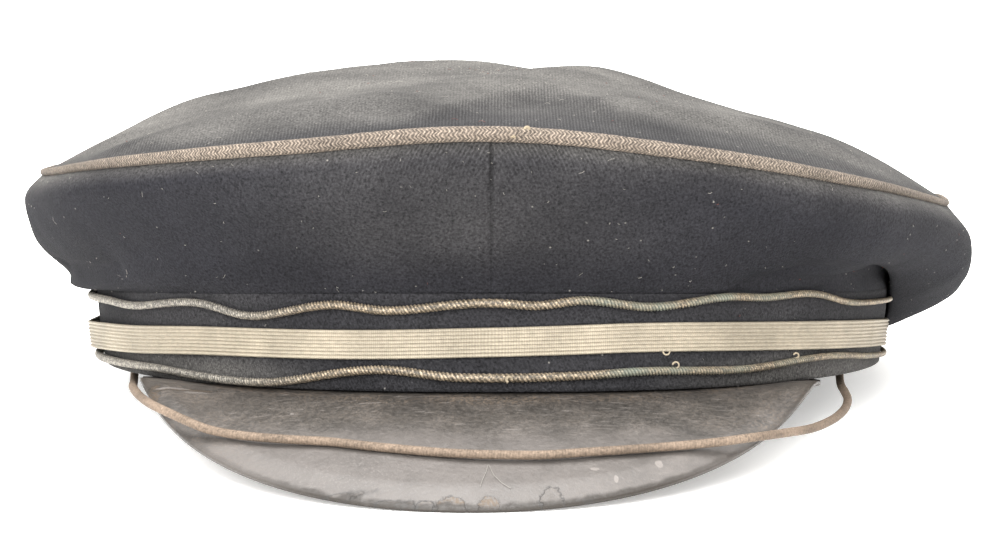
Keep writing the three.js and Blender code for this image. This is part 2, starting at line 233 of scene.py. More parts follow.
# Angle from the front and height above the band's lower edge
UPPER_CORD_HEIGHTS = [
    (-180, 12.6), (-100, 12.6), (-66, 14.0), (-56.5, 13.8), (-40, 15.5), (-30.5, 13.6),
    (-18, 16.2), (-11, 15.3), (0, 16.8), (4, 16.3), (9.5, 17.2), (18, 15.8),
    (29.5, 17.2), (36, 16.8), (46, 16.9), (56, 14.5), (69, 13.5), (90, 12.6),
]
LOWER_CORD_HEIGHTS = [
    (-180, 1.5), (-90, 1.1), (-64, 1.8), (-50, 2.0), (-40, 1.4), (-33, 1.0), (-27, 1.2), (-12, 4.2),
    (-3, 2.9), (10, 3.2), (16.5, 3.7), (33, 3.3), (46, 4.3), (53, 4.2), (66, 2.8), (90, 1.1),
]
TAPE_HEIGHTS = [
    (-180, 5.6), (-90, 4.9), (-69, 6.5), (-57, 7.1), (-40, 8.2), (-13, 8.8),
    (7, 9.7), (17, 10.0), (37, 9.3), (71, 6.9), (90, 5.0),
]

# Worn places of the visor, seen from above: x, y, half width, half depth and how much raw leather shows
VISOR_FLAKES = [
    (10.8, -141.0, 1.9, 3.2, 0.1),
    (-18.6, -141.0, 3.0, 1.3, 0.2),
    (-15.0, -141.8, 1.9, 1.3, 0.3),
    (-12.0, -142.2, 1.7, 1.5, 0.25),
    (-7.2, -142.6, 2.7, 2.2, 1.0),
    (-0.2, -142.6, 2.0, 2.3, 1.0),
    (24.0, -139.2, 6.0, 0.7, 0.3),
    (-30.0, -137.2, 7.0, 0.9, 0.25),
    (-64.0, -90.5, 1.2, 7.0, 0.8),
    (-58.6, -87.4, 6.0, 1.0, 0.8),
]

# Half the width of the dark line round a flake, partly crack and partly painted shadow of the lacquer's edge
FLAKE_CRACK_AND_SHADOW = 0.34

# Grey of the visor's front, partly rub and partly painted reflection: how far ahead it starts in the middle,
# and within how far it is full
RUB_AND_REFLECTION_FROM = 111.0
RUB_AND_REFLECTION_FULL = 15.0

# Painted glints, as bright specks on the visor: their middle and how far they spread, in x and y
GLINT_MIDDLE = (-22.0, -130.0)
GLINT_SPREAD = (16.0, 7.0)

# How far in from its edge the visor is pared thin
VISOR_PARING = 6.0

# Pale chips in the visor's lacquer: x, y, half width and half depth
VISOR_CHIPS = [
    (18.6, -131.0, 0.9, 0.5),
    (22.4, -133.2, 0.4, 0.8),
    (30.3, -127.2, 0.7, 0.9),
    (26.9, -137.4, 0.4, 0.4),
    (-37.0, -105.0, 0.4, 0.5),
    (-60.8, -86.9, 3.0, 0.7),
    (-56.2, -88.8, 2.4, 0.7),
]

# Front of the crown's top that rolls down to the braid: how far back it reaches (y) at each x, and its drop
ROLL_BACK = [
    (-92, -20.0), (-73.7, -45.0), (-60.4, -74.0), (-50.5, -80.0), (-36.9, -82.0), (-16.8, -86.0),
    (-10.0, -73.0), (-1.6, -54.0), (10.9, -32.0), (18.8, -44.0), (25.0, -68.0), (41.4, -62.0),
    (51.3, -54.2), (64.0, -51.5), (77.7, -40.6), (92, -20.0),
]
ROLL_DROP = 1.5

# Loose thread ends: the middle of each curl, the curl's radius, where it starts and ends in degrees, and half
# the thread's thickness
LOOSE_THREADS = [
    (32.8, -95.6, 21.6, 0.6, 170, 380, 0.16),
    (34.6, -94.8, 18.9, 0.6, -60, 170, 0.18),
    (58.3, -79.6, 18.4, 0.5, -90, 160, 0.18),
    (3.3, -102.6, 17.4, 0.5, 0, 250, 0.28),
    (6.5, -113.6, 65.2, 0.4, 0, 180, 0.3),
    (4.0, -113.8, 63.6, 0.3, 20, 160, 0.26),
]

# Hairs on the visor, seen from above
VISOR_HAIRS = [
    [(-0.5, -131.2), (-0.9, -133.8), (-1.5, -136.5), (-1.9, -138.6)],
    [(-0.3, -131.6), (0.5, -134.8), (2.0, -137.4), (3.6, -138.6)],
]

# How many bits of lint each piece of cloth carries
LINT_COUNTS = {"crown_top_panel": 520, "crown_left_panel": 130, "crown_right_panel": 130, "band_cloth": 50}
LINT_SEED = 11

# Bits of lint: how long most are, how much longer a few get, half their thickness and the share with a colour
LINT_LENGTHS = (0.15, 0.5)
LINT_LONGEST_EXTRA = 1.5
LINT_RADII = (0.022, 0.048)
LINT_COLOURED_SHARE = 0.08

# Hairs: half their thickness, and how far they lie above the visor
HAIR_RADIUS = 0.05
HAIR_LIFT = 0.2

# Steps that the surfaces are drawn with, and powers that crowd them toward the front and the visor's edge
CROWN_HALF_STEPS = 240
CROWN_SIDE_ROWS = 80
CROWN_TOP_STEPS = 400
CROWN_TOP_ROWS = 90
BAND_STEPS = 480
BAND_ROWS = 20
VISOR_STEPS = 300
VISOR_ROWS = 100
CROWN_STEP_POWER = 1.3
VISOR_ROW_POWER = 0.8


def linear(hex_colour):
    """Linear colour of an sRGB hex value."""
    channels = [int(hex_colour[i:i + 2], 16) / 255 for i in (0, 2, 4)]
    return tuple(c / 12.92 if c <= 0.04045 else ((c + 0.055) / 1.055) ** 2.4 for c in channels)


# What all the lengths and all the colours that a user may change have alike
LENGTH = {"unit": "LENGTH", "precision": 5}
COLOUR = {"subtype": "COLOR", "min": 0, "max": 1}


class CapSizes(bpy.types.PropertyGroup):
    """Thread and rib sizes that show in the cap's finish."""

    wale_spacing: bpy.props.FloatProperty(
        name="Wale spacing", description="Distance between the ribs of the wool twill",
        default=0.62 * MM, **LENGTH)
    crown_slack: bpy.props.FloatProperty(
        name="Crown slack", description="How far the crown's cloth ripples in and out",
        default=0.55 * MM, **LENGTH)
    braid_pitch: bpy.props.FloatProperty(
        name="Braid pitch", description="Distance between the slanting threads of the braid",
        default=0.75 * MM, **LENGTH)
    cord_pitch: bpy.props.FloatProperty(
        name="Cord pitch", description="Length in which a strand of the band's cords winds once round",
        default=2.1 * MM, **LENGTH)
    winding_pitch: bpy.props.FloatProperty(
        name="Winding pitch", description="Distance between the winds of thread on the chin cord",
        default=0.55 * MM, **LENGTH)
    tape_ribs: bpy.props.IntProperty(
        name="Tape ribs", description="Lengthwise ribs across the tape", default=8, min=2)


class CapColours(bpy.types.PropertyGroup):
    """Colours of the cap's materials."""

    wool: bpy.props.FloatVectorProperty(
        name="Wool", description="Dark wool of the crown and band", default=linear("19191c"), **COLOUR)
    dust: bpy.props.FloatVectorProperty(
        name="Dust", description="Dust and lint on the wool", default=linear("4d4b48"), **COLOUR)
    braid: bpy.props.FloatVectorProperty(
        name="Braid", description="Brown thread of the woven braid", default=linear("5c534a"), **COLOUR)
    cord_metal: bpy.props.FloatVectorProperty(
        name="Cord metal", description="Tarnished thread of the band's cords",
        default=linear("615749"), **COLOUR)
    tape: bpy.props.FloatVectorProperty(
        name="Tape", description="Pale silk of the ribbed tape", default=linear("837b6c"), **COLOUR)
    lacquer: bpy.props.FloatVectorProperty(
        name="Visor lacquer", description="Dulled lacquer of the visor", default=linear("34312e"), **COLOUR)
    raw_leather: bpy.props.FloatVectorProperty(
        name="Raw leather", description="Bare leather where the visor's lacquer has gone",
        default=linear("5f5040"), **COLOUR)
    chin_cord: bpy.props.FloatVectorProperty(
        name="Chin cord", description="Brown wound thread of the chin cord",
        default=linear("594d42"), **COLOUR)
    rubbed_and_painted_reflection: bpy.props.FloatVectorProperty(
        name="Rubbed lacquer", description="Grey of the visor's lacquer where it is rubbed",
        default=linear("474340"), **COLOUR)
    floor: bpy.props.FloatVectorProperty(
        name="Floor", description="Pale studio floor", default=linear("f6f5f3"), **COLOUR)


# Shapes of the cap

def signed_power(value, power):
    """Power that keeps the sign, for the squared-off oval."""
    return np.sign(value) * np.abs(value) ** power


def smooth_step(value, low, high):
    """Soft step from 0 at low to 1 at high."""
    t = np.clip((value - low) / (high - low), 0, 1)
    return t * t * (3 - 2 * t)


def unit(vectors):
    """Vectors of length 1 in the same directions."""
    return vectors / np.linalg.norm(vectors, axis=-1, keepdims=True)


def all_round(steps):
    """Angles from the front, all the way round from the back."""
    return np.arange(steps) * 360 / steps - 180


def ring_turns(sides):
    """Turns round a ring of points."""
    return np.arange(sides) * 2 * math.pi / sides


def round_head(angle):
    """Length round the head from the front to an angle."""
    return np.radians(angle) * (HEAD_HALF_WIDTH + HEAD_HALF_DEPTH) / 2


def around(rows):
    """Smooth closed curve through a table's rows: a function of the angle that gives the other columns."""
    table = np.array(rows, float)
    angles = np.append(table[:, 0], table[0, 0] + 360)
    values = np.vstack([table[:, 1:], table[:1, 1:]])
    last = len(angles) - 1

    def at(angle):
        angle = (np.asarray(angle, float) - angles[0]) % 360 + angles[0]
        right = np.clip(np.searchsorted(angles, angle, side="right"), 1, last)
        left = right - 1
        before = np.where(left > 0, angles[left - 1], angles[last - 1] - 360)
        after = np.where(right < last, angles[np.minimum(right + 1, last)], angles[1] + 360)
        half = (angles[right] - angles[left]) / 2
        pull_before = (half / (angles[left] - before))[..., None]
        pull_after = (half / (after - angles[right]))[..., None]
        p = ((angle - angles[left]) / (angles[right] - angles[left]))[..., None]
        share_before = pull_before * (-p**3 + 2 * p**2 - p)
        share_left = (1 + pull_before) * p**3 + (-1.5 - 2 * pull_before) * p**2 + (pull_before - 0.5) * p + 1
        share_right = (-1 - pull_after) * p**3 + (1.5 + pull_after) * p**2 + 0.5 * p
        share_after = pull_after * (p**3 - p**2)
        value_before = values[np.where(left > 0, left - 1, last - 1)]
        value_after = values[np.where(right < last, right + 1, 1)]
        return (share_before * value_before + share_left * values[left]
                + share_right * values[right] + share_after * value_after)

    return at


def spline(points, t):
    """Smooth curve through points (..., count, axes) at shares t of its length, and its direction there."""
    count = points.shape[-2]
    along = np.asarray(t) * (count - 1)
    first = np.minimum(along.astype(int), count - 2)
    w = (along - first)[:, None]
    p0 = points[..., np.maximum(first - 1, 0), :]
    p1 = points[..., first, :]
    p2 = points[..., first + 1, :]
    p3 = points[..., np.minimum(first + 2, count - 1), :]
    v0 = (p2 - p0) / 2
    v1 = (p3 - p1) / 2
    cubic = 2 * p1 - 2 * p2 + v0 + v1
    square = -3 * p1 + 3 * p2 - 2 * v0 - v1
    place = cubic * w**3 + square * w**2 + v0 * w + p1
    direction = 3 * cubic * w**2 + 2 * square * w + v0
    return place, unit(direction)


def on_head(angle, out, z):
    """Place on the band's outer oval, moved straight out from it."""
    turn = np.radians(angle)
    power = 2 / HEAD_SQUARENESS
    x = HEAD_HALF_WIDTH * signed_power(np.sin(turn), power)
    y = -HEAD_HALF_DEPTH * signed_power(np.cos(turn), power)
    out_x = signed_power(x / HEAD_HALF_WIDTH, HEAD_SQUARENESS - 1) / HEAD_HALF_WIDTH
    out_y = signed_power(y / HEAD_HALF_DEPTH, HEAD_SQUARENESS - 1) / HEAD_HALF_DEPTH
    length = np.hypot(out_x, out_y)
    return np.stack(np.broadcast_arrays(x + out * out_x / length, y + out * out_y / length, z), -1)


def band_low(angle):
    """Height of the band's lower edge."""
    behind_front = on_head(angle, 0, 0)[..., 1] + HEAD_HALF_DEPTH
    return np.maximum(0, BAND_FRONT_LIFT - BAND_SLOPE * behind_front)


def band_height(angle):
    """Height of the band's upper edge above its lower one."""
    turn = np.radians(angle)
    return BAND_HEIGHT + BAND_FRONT_EXTRA * np.cos(turn) + BAND_SIDE_DIP * np.cos(2 * turn)


def on_band(angle, out, height):
    """Place on the band wall, which leans back and draws in at the sides toward its lower edge."""
    side = np.sin(np.radians(angle)) ** 2
    drawn_in = BAND_SIDE_TAPER * side * (1 - height / band_height(angle))
    spread = BAND_SIDE_SPREAD * side**4 - drawn_in
    place = on_head(angle, out + spread, band_low(angle) + height * math.cos(BAND_TILT))
    place[..., 1] += height * math.sin(BAND_TILT)
    return place


def crown_section(angle):
    """The points that a crown section passes through at each angle: out from the band, and height."""
    row = section_at(angle)
    seam_z = band_low(angle) + band_height(angle) * math.cos(BAND_TILT) + GAP
    spread = BAND_SIDE_SPREAD * np.sin(np.radians(angle)) ** 8
    seam = np.stack([spread, seam_z], -1)[..., None, :]
    places = row.reshape(*row.shape[:-1], -1, 2)
    places[..., 0, 0] += spread
    return np.concatenate([seam, places], -2)


def on_crown(angle, place):
    """Place of a section's point (out, height) at an angle."""
    found = on_head(angle, place[..., 0], place[..., 1])
    found[..., 1] += CROWN_BACK
    return found


def out_of(direction):
    """Straight out of the cloth, from the direction along its section."""
    return np.stack([direction[..., 1], -direction[..., 0]], -1)


def fold_rise(x, y):
    """Rise of the top's folds at a place seen from above."""
    rise = np.zeros_like(x)
    for from_x, from_y, to_x, to_y, height, width in TOP_FOLDS:
        line = np.array([to_x - from_x, to_y - from_y], float)
        share = np.clip(((x - from_x) * line[0] + (y - from_y) * line[1]) / (line @ line), 0, 1)
        away = np.hypot(x - from_x - share * line[0], y - from_y - share * line[1])
        rise += height * np.exp(-((away / width) ** 2))
    return rise


def from_line(places, line):
    """Distance of places from a line through points."""
    near = np.full(places.shape[:-1], np.inf)
    for start, end in zip(line[:-1], line[1:]):
        start = np.array(start)
        step = np.array(end) - start
        share = np.clip((places - start) @ step / (step @ step), 0, 1)
        near = np.minimum(near, np.linalg.norm(places - start - share[..., None] * step, axis=-1))
    return near


def on_visor(across, forward, thickness):
    """Place on the visor, ruled from under the band to its outer edge, which curls up toward the corners."""
    seam_angle = across * VISOR_SEAM_ANGLE + VISOR_TURN
    seam = on_head(seam_angle, -BAND_WALL, band_low(seam_angle) - GAP - VISOR_WALL)
    turn = across * math.pi / 2
    curl = VISOR_CURL * np.abs(across) ** VISOR_CURL_POWER
    near_corner = smooth_step(np.abs(across), VISOR_CORNER_FROM, 1)
    x = VISOR_HALF_WIDTH * np.sin(turn)
    y = VISOR_CORNER_Y - VISOR_REACH * np.cos(turn)
    z = curl + (VISOR_CORNER_Z - curl) * near_corner
    swing = math.radians(VISOR_TURN)
    edge_x = x * math.cos(swing) - y * math.sin(swing)
    edge_y = x * math.sin(swing) + y * math.cos(swing)
    edge = np.stack([edge_x, edge_y, z], -1)
    place = seam + (edge - seam) * np.asarray(forward)[..., None]
    place[..., 2] += VISOR_CAMBER * np.sin(math.pi * forward) * (1 - across**2) ** 2 + thickness
    return place


section_at = around(CROWN_SECTIONS)


def ripples(places, size, seed):
    """Smooth noise from about -1 to 1 at places, with waves of a size in millimetres."""
    shift = Vector((seed * 17.3, seed * 5.9, seed * 11.1))
    found = [noise.noise(Vector(place) / size + shift) for place in places.reshape(-1, 3)]
    return np.array(found).reshape(places.shape[:-1])


# Meshes

def new_piece(name, places, faces, attributes):
    """Smooth mesh object from places in millimetres round the cap's middle, with values at its points."""
    mesh = bpy.data.meshes.new(name)
    mesh.from_pydata(((places + CAP_MIDDLE) * MM).tolist(), [], faces)
    for label, values in attributes.items():
        kind = "FLOAT_VECTOR" if values.ndim == 2 else "FLOAT"
        layer = mesh.attributes.new(label, kind, "POINT")
        layer.data.foreach_set("vector" if values.ndim == 2 else "value", values.astype(np.float32).ravel())
    mesh.polygons.foreach_set("use_smooth", np.ones(len(mesh.polygons), bool))
    piece = bpy.data.objects.new(name, mesh)
    bpy.context.scene.collection.objects.link(piece)
    return piece


def quads(*corners):
    """Faces of four corners each, from four grids of point numbers."""
    return np.stack([corner.ravel() for corner in corners], 1)


def wall_piece(name, outside, inside, wraps=False, attributes=None):
    """Closed wall between an outside and an inside grid of places, with its edges filled in."""
    steps, rows = outside.shape[:2]
    outer = np.arange(steps * rows).reshape(steps, rows)
    if wraps:
        outer = np.vstack([outer, outer[:1]])
    inner = outer + steps * rows
    faces = [
        quads(outer[:-1, :-1], outer[1:, :-1], outer[1:, 1:], outer[:-1, 1:]),
        quads(inner[:-1, :-1], inner[:-1, 1:], inner[1:, 1:], inner[1:, :-1]),
        quads(inner[:-1, 0], inner[1:, 0], outer[1:, 0], outer[:-1, 0]),
        quads(outer[:-1, -1], outer[1:, -1], inner[1:, -1], inner[:-1, -1]),
    ]
    if not wraps:
        faces.append(quads(inner[0, :-1], outer[0, :-1], outer[0, 1:], inner[0, 1:]))
        faces.append(quads(outer[-1, :-1], inner[-1, :-1], inner[-1, 1:], outer[-1, 1:]))
    places = np.concatenate([outside.reshape(-1, 3), inside.reshape(-1, 3)])
    values = {}
    for label, grid in (attributes or {}).items():
        flat = grid.reshape(steps * rows, -1)
        both = np.concatenate([flat, flat])
        values[label] = both if both.shape[1] == 3 else both[:, 0]
    return new_piece(name, places, np.concatenate(faces).tolist(), values)


def tube_faces(steps, sides, closed, first=0):
    """Faces of a tube of rings of points, counted on from the first, with the ends of an open one filled."""
    index = np.arange(steps * sides).reshape(steps, sides) + first
    ends = [index[0].tolist(), index[-1, ::-1].tolist()]
    index = np.hstack([index, index[:, :1]])
    if closed:
        index = np.vstack([index, index[:1]])
    faces = quads(index[:-1, 1:], index[1:, 1:], index[1:, :-1], index[:-1, :-1]).tolist()
    return faces if closed else faces + ends


def tube_places(centres, out, side, radius):
    """Places of a tube's rings; radius is a grid of steps by sides, counted round from the out direction."""
    turn = ring_turns(radius.shape[1])[None, :, None]
    ring = out[:, None] * np.cos(turn) + side[:, None] * np.sin(turn)
    return (centres[:, None] + ring * radius[..., None]).reshape(-1, 3)


def cord_piece(name, centres, out, radius, closed, attributes=None):
    """Tube along centres, with its radius as a grid of steps by sides."""
    if closed:
        direction = unit(np.roll(centres, -1, 0) - np.roll(centres, 1, 0))
    else:
        direction = unit(np.gradient(centres, axis=0))
    out = unit(out - direction * np.sum(out * direction, 1, keepdims=True))
    places = tube_places(centres, out, np.cross(direction, out), radius)
    values = {}
    for label, grid in (attributes or {}).items():
        values[label] = grid.reshape(-1, 3) if grid.ndim == 3 else grid.ravel()
    return new_piece(name, places, tube_faces(*radius.shape, closed), values)


def carried_along(centres):
    """Directions straight out of an open line that turn no more than the line does."""
    direction = unit(np.gradient(centres, axis=0))
    out = [np.cross(direction[0], (1.0, 0.0, 0.0))]
    for along in direction[1:]:
        out.append(unit(out[-1] - along * (out[-1] @ along)))
    return np.array(out)


def length_along(centres, closed):
    """Length from the start of a line to each of its points, and its whole length."""
    ends = np.roll(centres, -1, 0) if closed else np.vstack([centres[1:], centres[-1:]])
    steps = np.linalg.norm(ends - centres, axis=1)
    return np.concatenate([[0], np.cumsum(steps)[:-1]]), steps.sum()


def strands_piece(name, paths, radii, tints):
    """Thin tubes along paths of points, in one mesh, each with its radius and its tint."""
    sides = 5
    places = []
    faces = []
    values = []
    first = 0
    for path, radius, tint in zip(paths, radii, tints):
        steps = len(path)
        out = carried_along(path)
        side = unit(np.cross(np.gradient(path, axis=0), out))
        places.append(tube_places(path, out, side, np.full((steps, sides), radius)))
        faces += tube_faces(steps, sides, False, first)
        values.append(np.full(steps * sides, tint))
        first += steps * sides
    return new_piece(name, np.concatenate(places), faces, {"tint": np.concatenate(values)})


def dress(piece, material, slot, *nodes):
    """Gives a piece its material, and sets it on the frame in place of its solids."""
    piece.data.materials.append(material)
    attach(piece, "root")
    if nodes:
        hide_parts(*nodes)
    return piece


# Materials

def set_inputs(node, inputs):
    """Sets or links a node's inputs, by name or as a row in its own order.

    A range's row is its value, the low and high end that the value runs between, and what those become.
    """
    for name, value in inputs.items() if isinstance(inputs, dict) else enumerate(inputs):
        named = [socket for socket in node.inputs if socket.enabled and socket.name == name]
        socket = named[0] if named else node.inputs[name]
        if isinstance(value, bpy.types.NodeSocket):
            node.id_data.links.new(value, socket)
        else:
            socket.default_value = value


def add_node(tree, kind, inputs=(), output=None, **settings):
    """Adds a shader node with its settings and inputs, and gives an output, or else the first in use."""
    made = tree.nodes.new("ShaderNode" + kind)
    for name, value in settings.items():
        setattr(made, name, value)
    set_inputs(made, inputs)
    return made.outputs[output] if output else next(socket for socket in made.outputs if socket.enabled)


def start_material(name, roughness, specular):
    """New material, its shader, and the function that adds nodes to it."""
    material = bpy.data.materials.new(name)
    material.use_nodes = True
    shader = material.node_tree.nodes["Principled BSDF"]
    set_inputs(shader, {"Roughness": roughness, "Specular IOR Level": specular})
    return material, shader, partial(add_node, material.node_tree)


def shade(colour, share=1.0):
    """Opaque colour, darker or lighter by a share."""
    return (*[min(1.0, channel * share) for channel in colour], 1.0)


def per_mm(size):
    """Texture scale on frame coordinates whose features are a size in millimetres."""
    return 1 / (size * MM)


# Wave textures repeat every 2 pi / 20 of their scaled coordinate
WAVE_TURN = 2 * math.pi / 20


def felted_wool(name):
    """Felted wool twill: matt dark cloth with fine ribs, nap, grey mottling, settled dust, which on the crown
    also carries painted light and shade, and white lint.
    """
    spacing = bpy.context.scene.cap_sizes.wale_spacing / MM
    colours = bpy.context.scene.cap_colours
    material, shader, add = start_material(name, 0.95, 0.08)
    place = add("TexCoord", output="Object")
    cloth = add("Attribute", output="Vector", attribute_name="cloth")
    ribs = add("Attribute", output="Fac", attribute_name="ribs")
    # Dust mask; on the crown it also carries painted light and shade
    dust_and_painted_light = add("Attribute", output="Fac", attribute_name="dust")
    nap = add("TexNoise", {"Vector": place, "Scale": per_mm(0.5), "Detail": 3.0, "Roughness": 0.72})
    mottle = add("TexNoise", {"Vector": place, "Scale": per_mm(22.0), "Detail": 4.0})
    wales = add("TexWave", {"Vector": cloth, "Scale": WAVE_TURN / spacing, "Distortion": 2.0,
                            "Detail Scale": 0.6}, output="Fac", bands_direction="X")

    settled = add("MapRange", (mottle, 0.25, 0.65, 0.65))
    dust = add("Math", (dust_and_painted_light, settled), operation="MULTIPLY", use_clamp=True)
    dusty = add("Mix", {"Factor": dust, "A": shade(colours.wool), "B": shade(colours.dust)}, data_type="RGBA")
    rib_light = add("Math", (wales, 0.5), operation="SUBTRACT")
    ribbed = add("Math", (rib_light, ribs, 1.0), operation="MULTIPLY_ADD")
    fuzzy = add("MapRange", (nap, 0.3, 0.7, 0.3, 1.7))
    patchy = add("MapRange", (mottle, 0.3, 0.7, 0.84, 1.17))
    strength = add("Math", (ribbed, patchy), operation="MULTIPLY")
    strength = add("Math", (strength, fuzzy), operation="MULTIPLY")
    toned = add("VectorMath", {"Vector": dusty, "Scale": strength}, operation="SCALE")

    lint_cells = add("TexVoronoi", {"Vector": place, "Scale": per_mm(3.4)}, output="Distance")
    lint_near = add("MapRange", (lint_cells, 0.075, 0.03))
    cell_chance = add("SeparateXYZ", (lint_cells.node.outputs["Color"],))
    lint_some = add("Math", (cell_chance, 0.72), operation="GREATER_THAN")
    lint = add("Math", (lint_near, lint_some), operation="MULTIPLY")
    linted = add("Mix", {"Factor": lint, "A": toned, "B": shade(colours.dust, 1.7)}, data_type="RGBA")

    rib_height = add("Math", (wales, ribs), operation="MULTIPLY")
    height = add("Math", (rib_height, nap), operation="ADD")
    bump = add("Bump", {"Height": height, "Strength": 0.7, "Distance": 0.4 * MM})
    set_inputs(shader, {"Base Color": linted, "Normal": bump})
    return material


def wound_thread():
    """Wound cotton thread: matt and brown, each wind a little lighter or darker than the next, with painted
    shade in the grooves between winds.
    """
    colour = bpy.context.scene.cap_colours.chin_cord
    material, shader, add = start_material("wound cotton thread", 0.8, 0.2)
    place = add("TexCoord", output="Object")
    groove = add("Attribute", output="Fac", attribute_name="groove")
    threads = add("TexNoise", {"Vector": place, "Scale": per_mm(0.6), "Detail": 3.0, "Roughness": 0.7})
    worn = add("TexNoise", {"Vector": place, "Scale": per_mm(9.0), "Detail": 3.0})
    light = add("MapRange", (threads, 0.32, 0.7))
    tone = add("Mix", {"Factor": light, "A": shade(colour, 0.6), "B": shade(colour, 1.45)}, data_type="RGBA")
    patchy = add("MapRange", (worn, 0.3, 0.7, 0.78, 1.2))
    # Painted shade: darker in the grooves between winds, a little lighter on them
    painted_groove_shade = add("MapRange", (groove, 0.0, 1.0, 1.06, 0.86))
    strength = add("Math", (patchy, painted_groove_shade), operation="MULTIPLY")
    toned = add("VectorMath", {"Vector": tone, "Scale": strength}, operation="SCALE")
    bump = add("Bump", {"Height": threads, "Strength": 0.5, "Distance": 0.15 * MM})
    set_inputs(shader, {"Base Color": toned, "Normal": bump})
    return material


def mohair_braid():
    """Woven mohair braid: rows of short slanting brown stitches with dark gaps, like a herringbone; the light
    tops and dark gaps are partly the threads' tone and partly painted shading of their relief.
    """
    colour = bpy.context.scene.cap_colours.braid
    pitch = bpy.context.scene.cap_sizes.braid_pitch / MM
    material, shader, add = start_material("woven mohair braid", 0.8, 0.2)
    place = add("TexCoord", output="Object")
    weave = add("Attribute", output="Vector", attribute_name="cloth")
    along = add("SeparateXYZ", (weave,), output="X")
    round_it = add("SeparateXYZ", (weave,), output="Y")
    row = add("Math", (round_it, BRAID_ROW), operation="PINGPONG")
    slanted = add("Math", (row, 0.8, along), operation="MULTIPLY_ADD")
    across = add("CombineXYZ", (slanted, round_it))
    stitch = add("TexWave", {"Vector": across, "Scale": WAVE_TURN / pitch, "Distortion": 4.5,
                             "Detail Scale": 1.0}, output="Fac", bands_direction="X")
    fluff = add("TexNoise", {"Vector": place, "Scale": per_mm(0.5), "Detail": 3.0, "Roughness": 0.7})
    worn = add("TexNoise", {"Vector": place, "Scale": per_mm(14.0), "Detail": 3.0})
    # Light stitch tops and dark gaps: partly the threads' own tone, partly painted shade of the relief
    stitch_tone_and_painted_shade = add("MapRange", (stitch, 0.0, 1.0, 0.45, 1.35))
    fluffy = add("MapRange", (fluff, 0.3, 0.7, 0.3, 1.75))
    patchy = add("MapRange", (worn, 0.3, 0.7, 0.8, 1.2))
    strength = add("Math", (stitch_tone_and_painted_shade, fluffy), operation="MULTIPLY")
    strength = add("Math", (strength, patchy), operation="MULTIPLY")
    toned = add("VectorMath", {"Vector": colour, "Scale": strength}, operation="SCALE")
    height = add("Math", (stitch, fluff), operation="ADD")
    bump = add("Bump", {"Height": height, "Strength": 0.8, "Distance": 0.3 * MM})
    set_inputs(shader, {"Base Color": toned, "Normal": bump})
    return material


def tarnished_thread():
    """Tarnished metal thread: dull brown strands with bright worn flecks, green tarnish at one side, and
    painted shade in the grooves between strands.
    """
    metal = bpy.context.scene.cap_colours.cord_metal
    material, shader, add = start_material("tarnished metal thread", 0.45, 0.25)
    place = add("TexCoord", output="Object")
    groove = add("Attribute", output="Fac", attribute_name="groove")
    flecks = add("TexNoise", {"Vector": place, "Scale": per_mm(0.6), "Detail": 3.0, "Roughness": 0.75})
    patches = add("TexNoise", {"Vector": place, "Scale": per_mm(9.0), "Detail": 2.0})
    bright = add("MapRange", (flecks, 0.45, 0.62))
    tone = add("Mix", {"Factor": bright, "A": shade(metal, 0.5), "B": shade(metal, 2.4)}, data_type="RGBA")

    sideways = add("SeparateXYZ", (place,), output="X")
    near = add("MapRange", (sideways, TARNISH_FROM * MM, TARNISH_FULL * MM, 0.0, 0.75))
    far = add("MapRange", (sideways, TARNISH_THINS * MM, TARNISH_THIN * MM, 1.0, 0.3))
    clumps = add("MapRange", (patches, 0.4, 0.62))
    green = add("Math", (near, clumps), operation="MULTIPLY")
    green = add("Math", (green, far), operation="MULTIPLY")
    greened = add("Mix", {"Factor": green, "A": tone, "B": shade(linear(TARNISH_GREEN))}, data_type="RGBA")
    silver = add("MapRange", (sideways, SILVER_FROM * MM, SILVER_FULL * MM, 0.0, 0.7))
    light = add("RGBToBW", (greened,))
    grey = add("VectorMath", {"Vector": SILVER_TINT, "Scale": light}, operation="SCALE")
    tarnished = add("Mix", {"Factor": silver, "A": greened, "B": grey}, data_type="RGBA")

    # Painted shade: darker in the grooves between strands, lighter on them
    painted_groove_shade = add("MapRange", (groove, 0.0, 0.8, 1.3, 0.4))
    toned = add("VectorMath", {"Vector": tarnished, "Scale": painted_groove_shade}, operation="SCALE")
    shine = add("MapRange", (flecks, 0.53, 0.64, 0.0, 0.75))
    bump = add("Bump", {"Height": flecks, "Strength": 0.7, "Distance": 0.15 * MM})
    set_inputs(shader, {"Base Color": toned, "Metallic": shine, "Normal": bump})
    return material


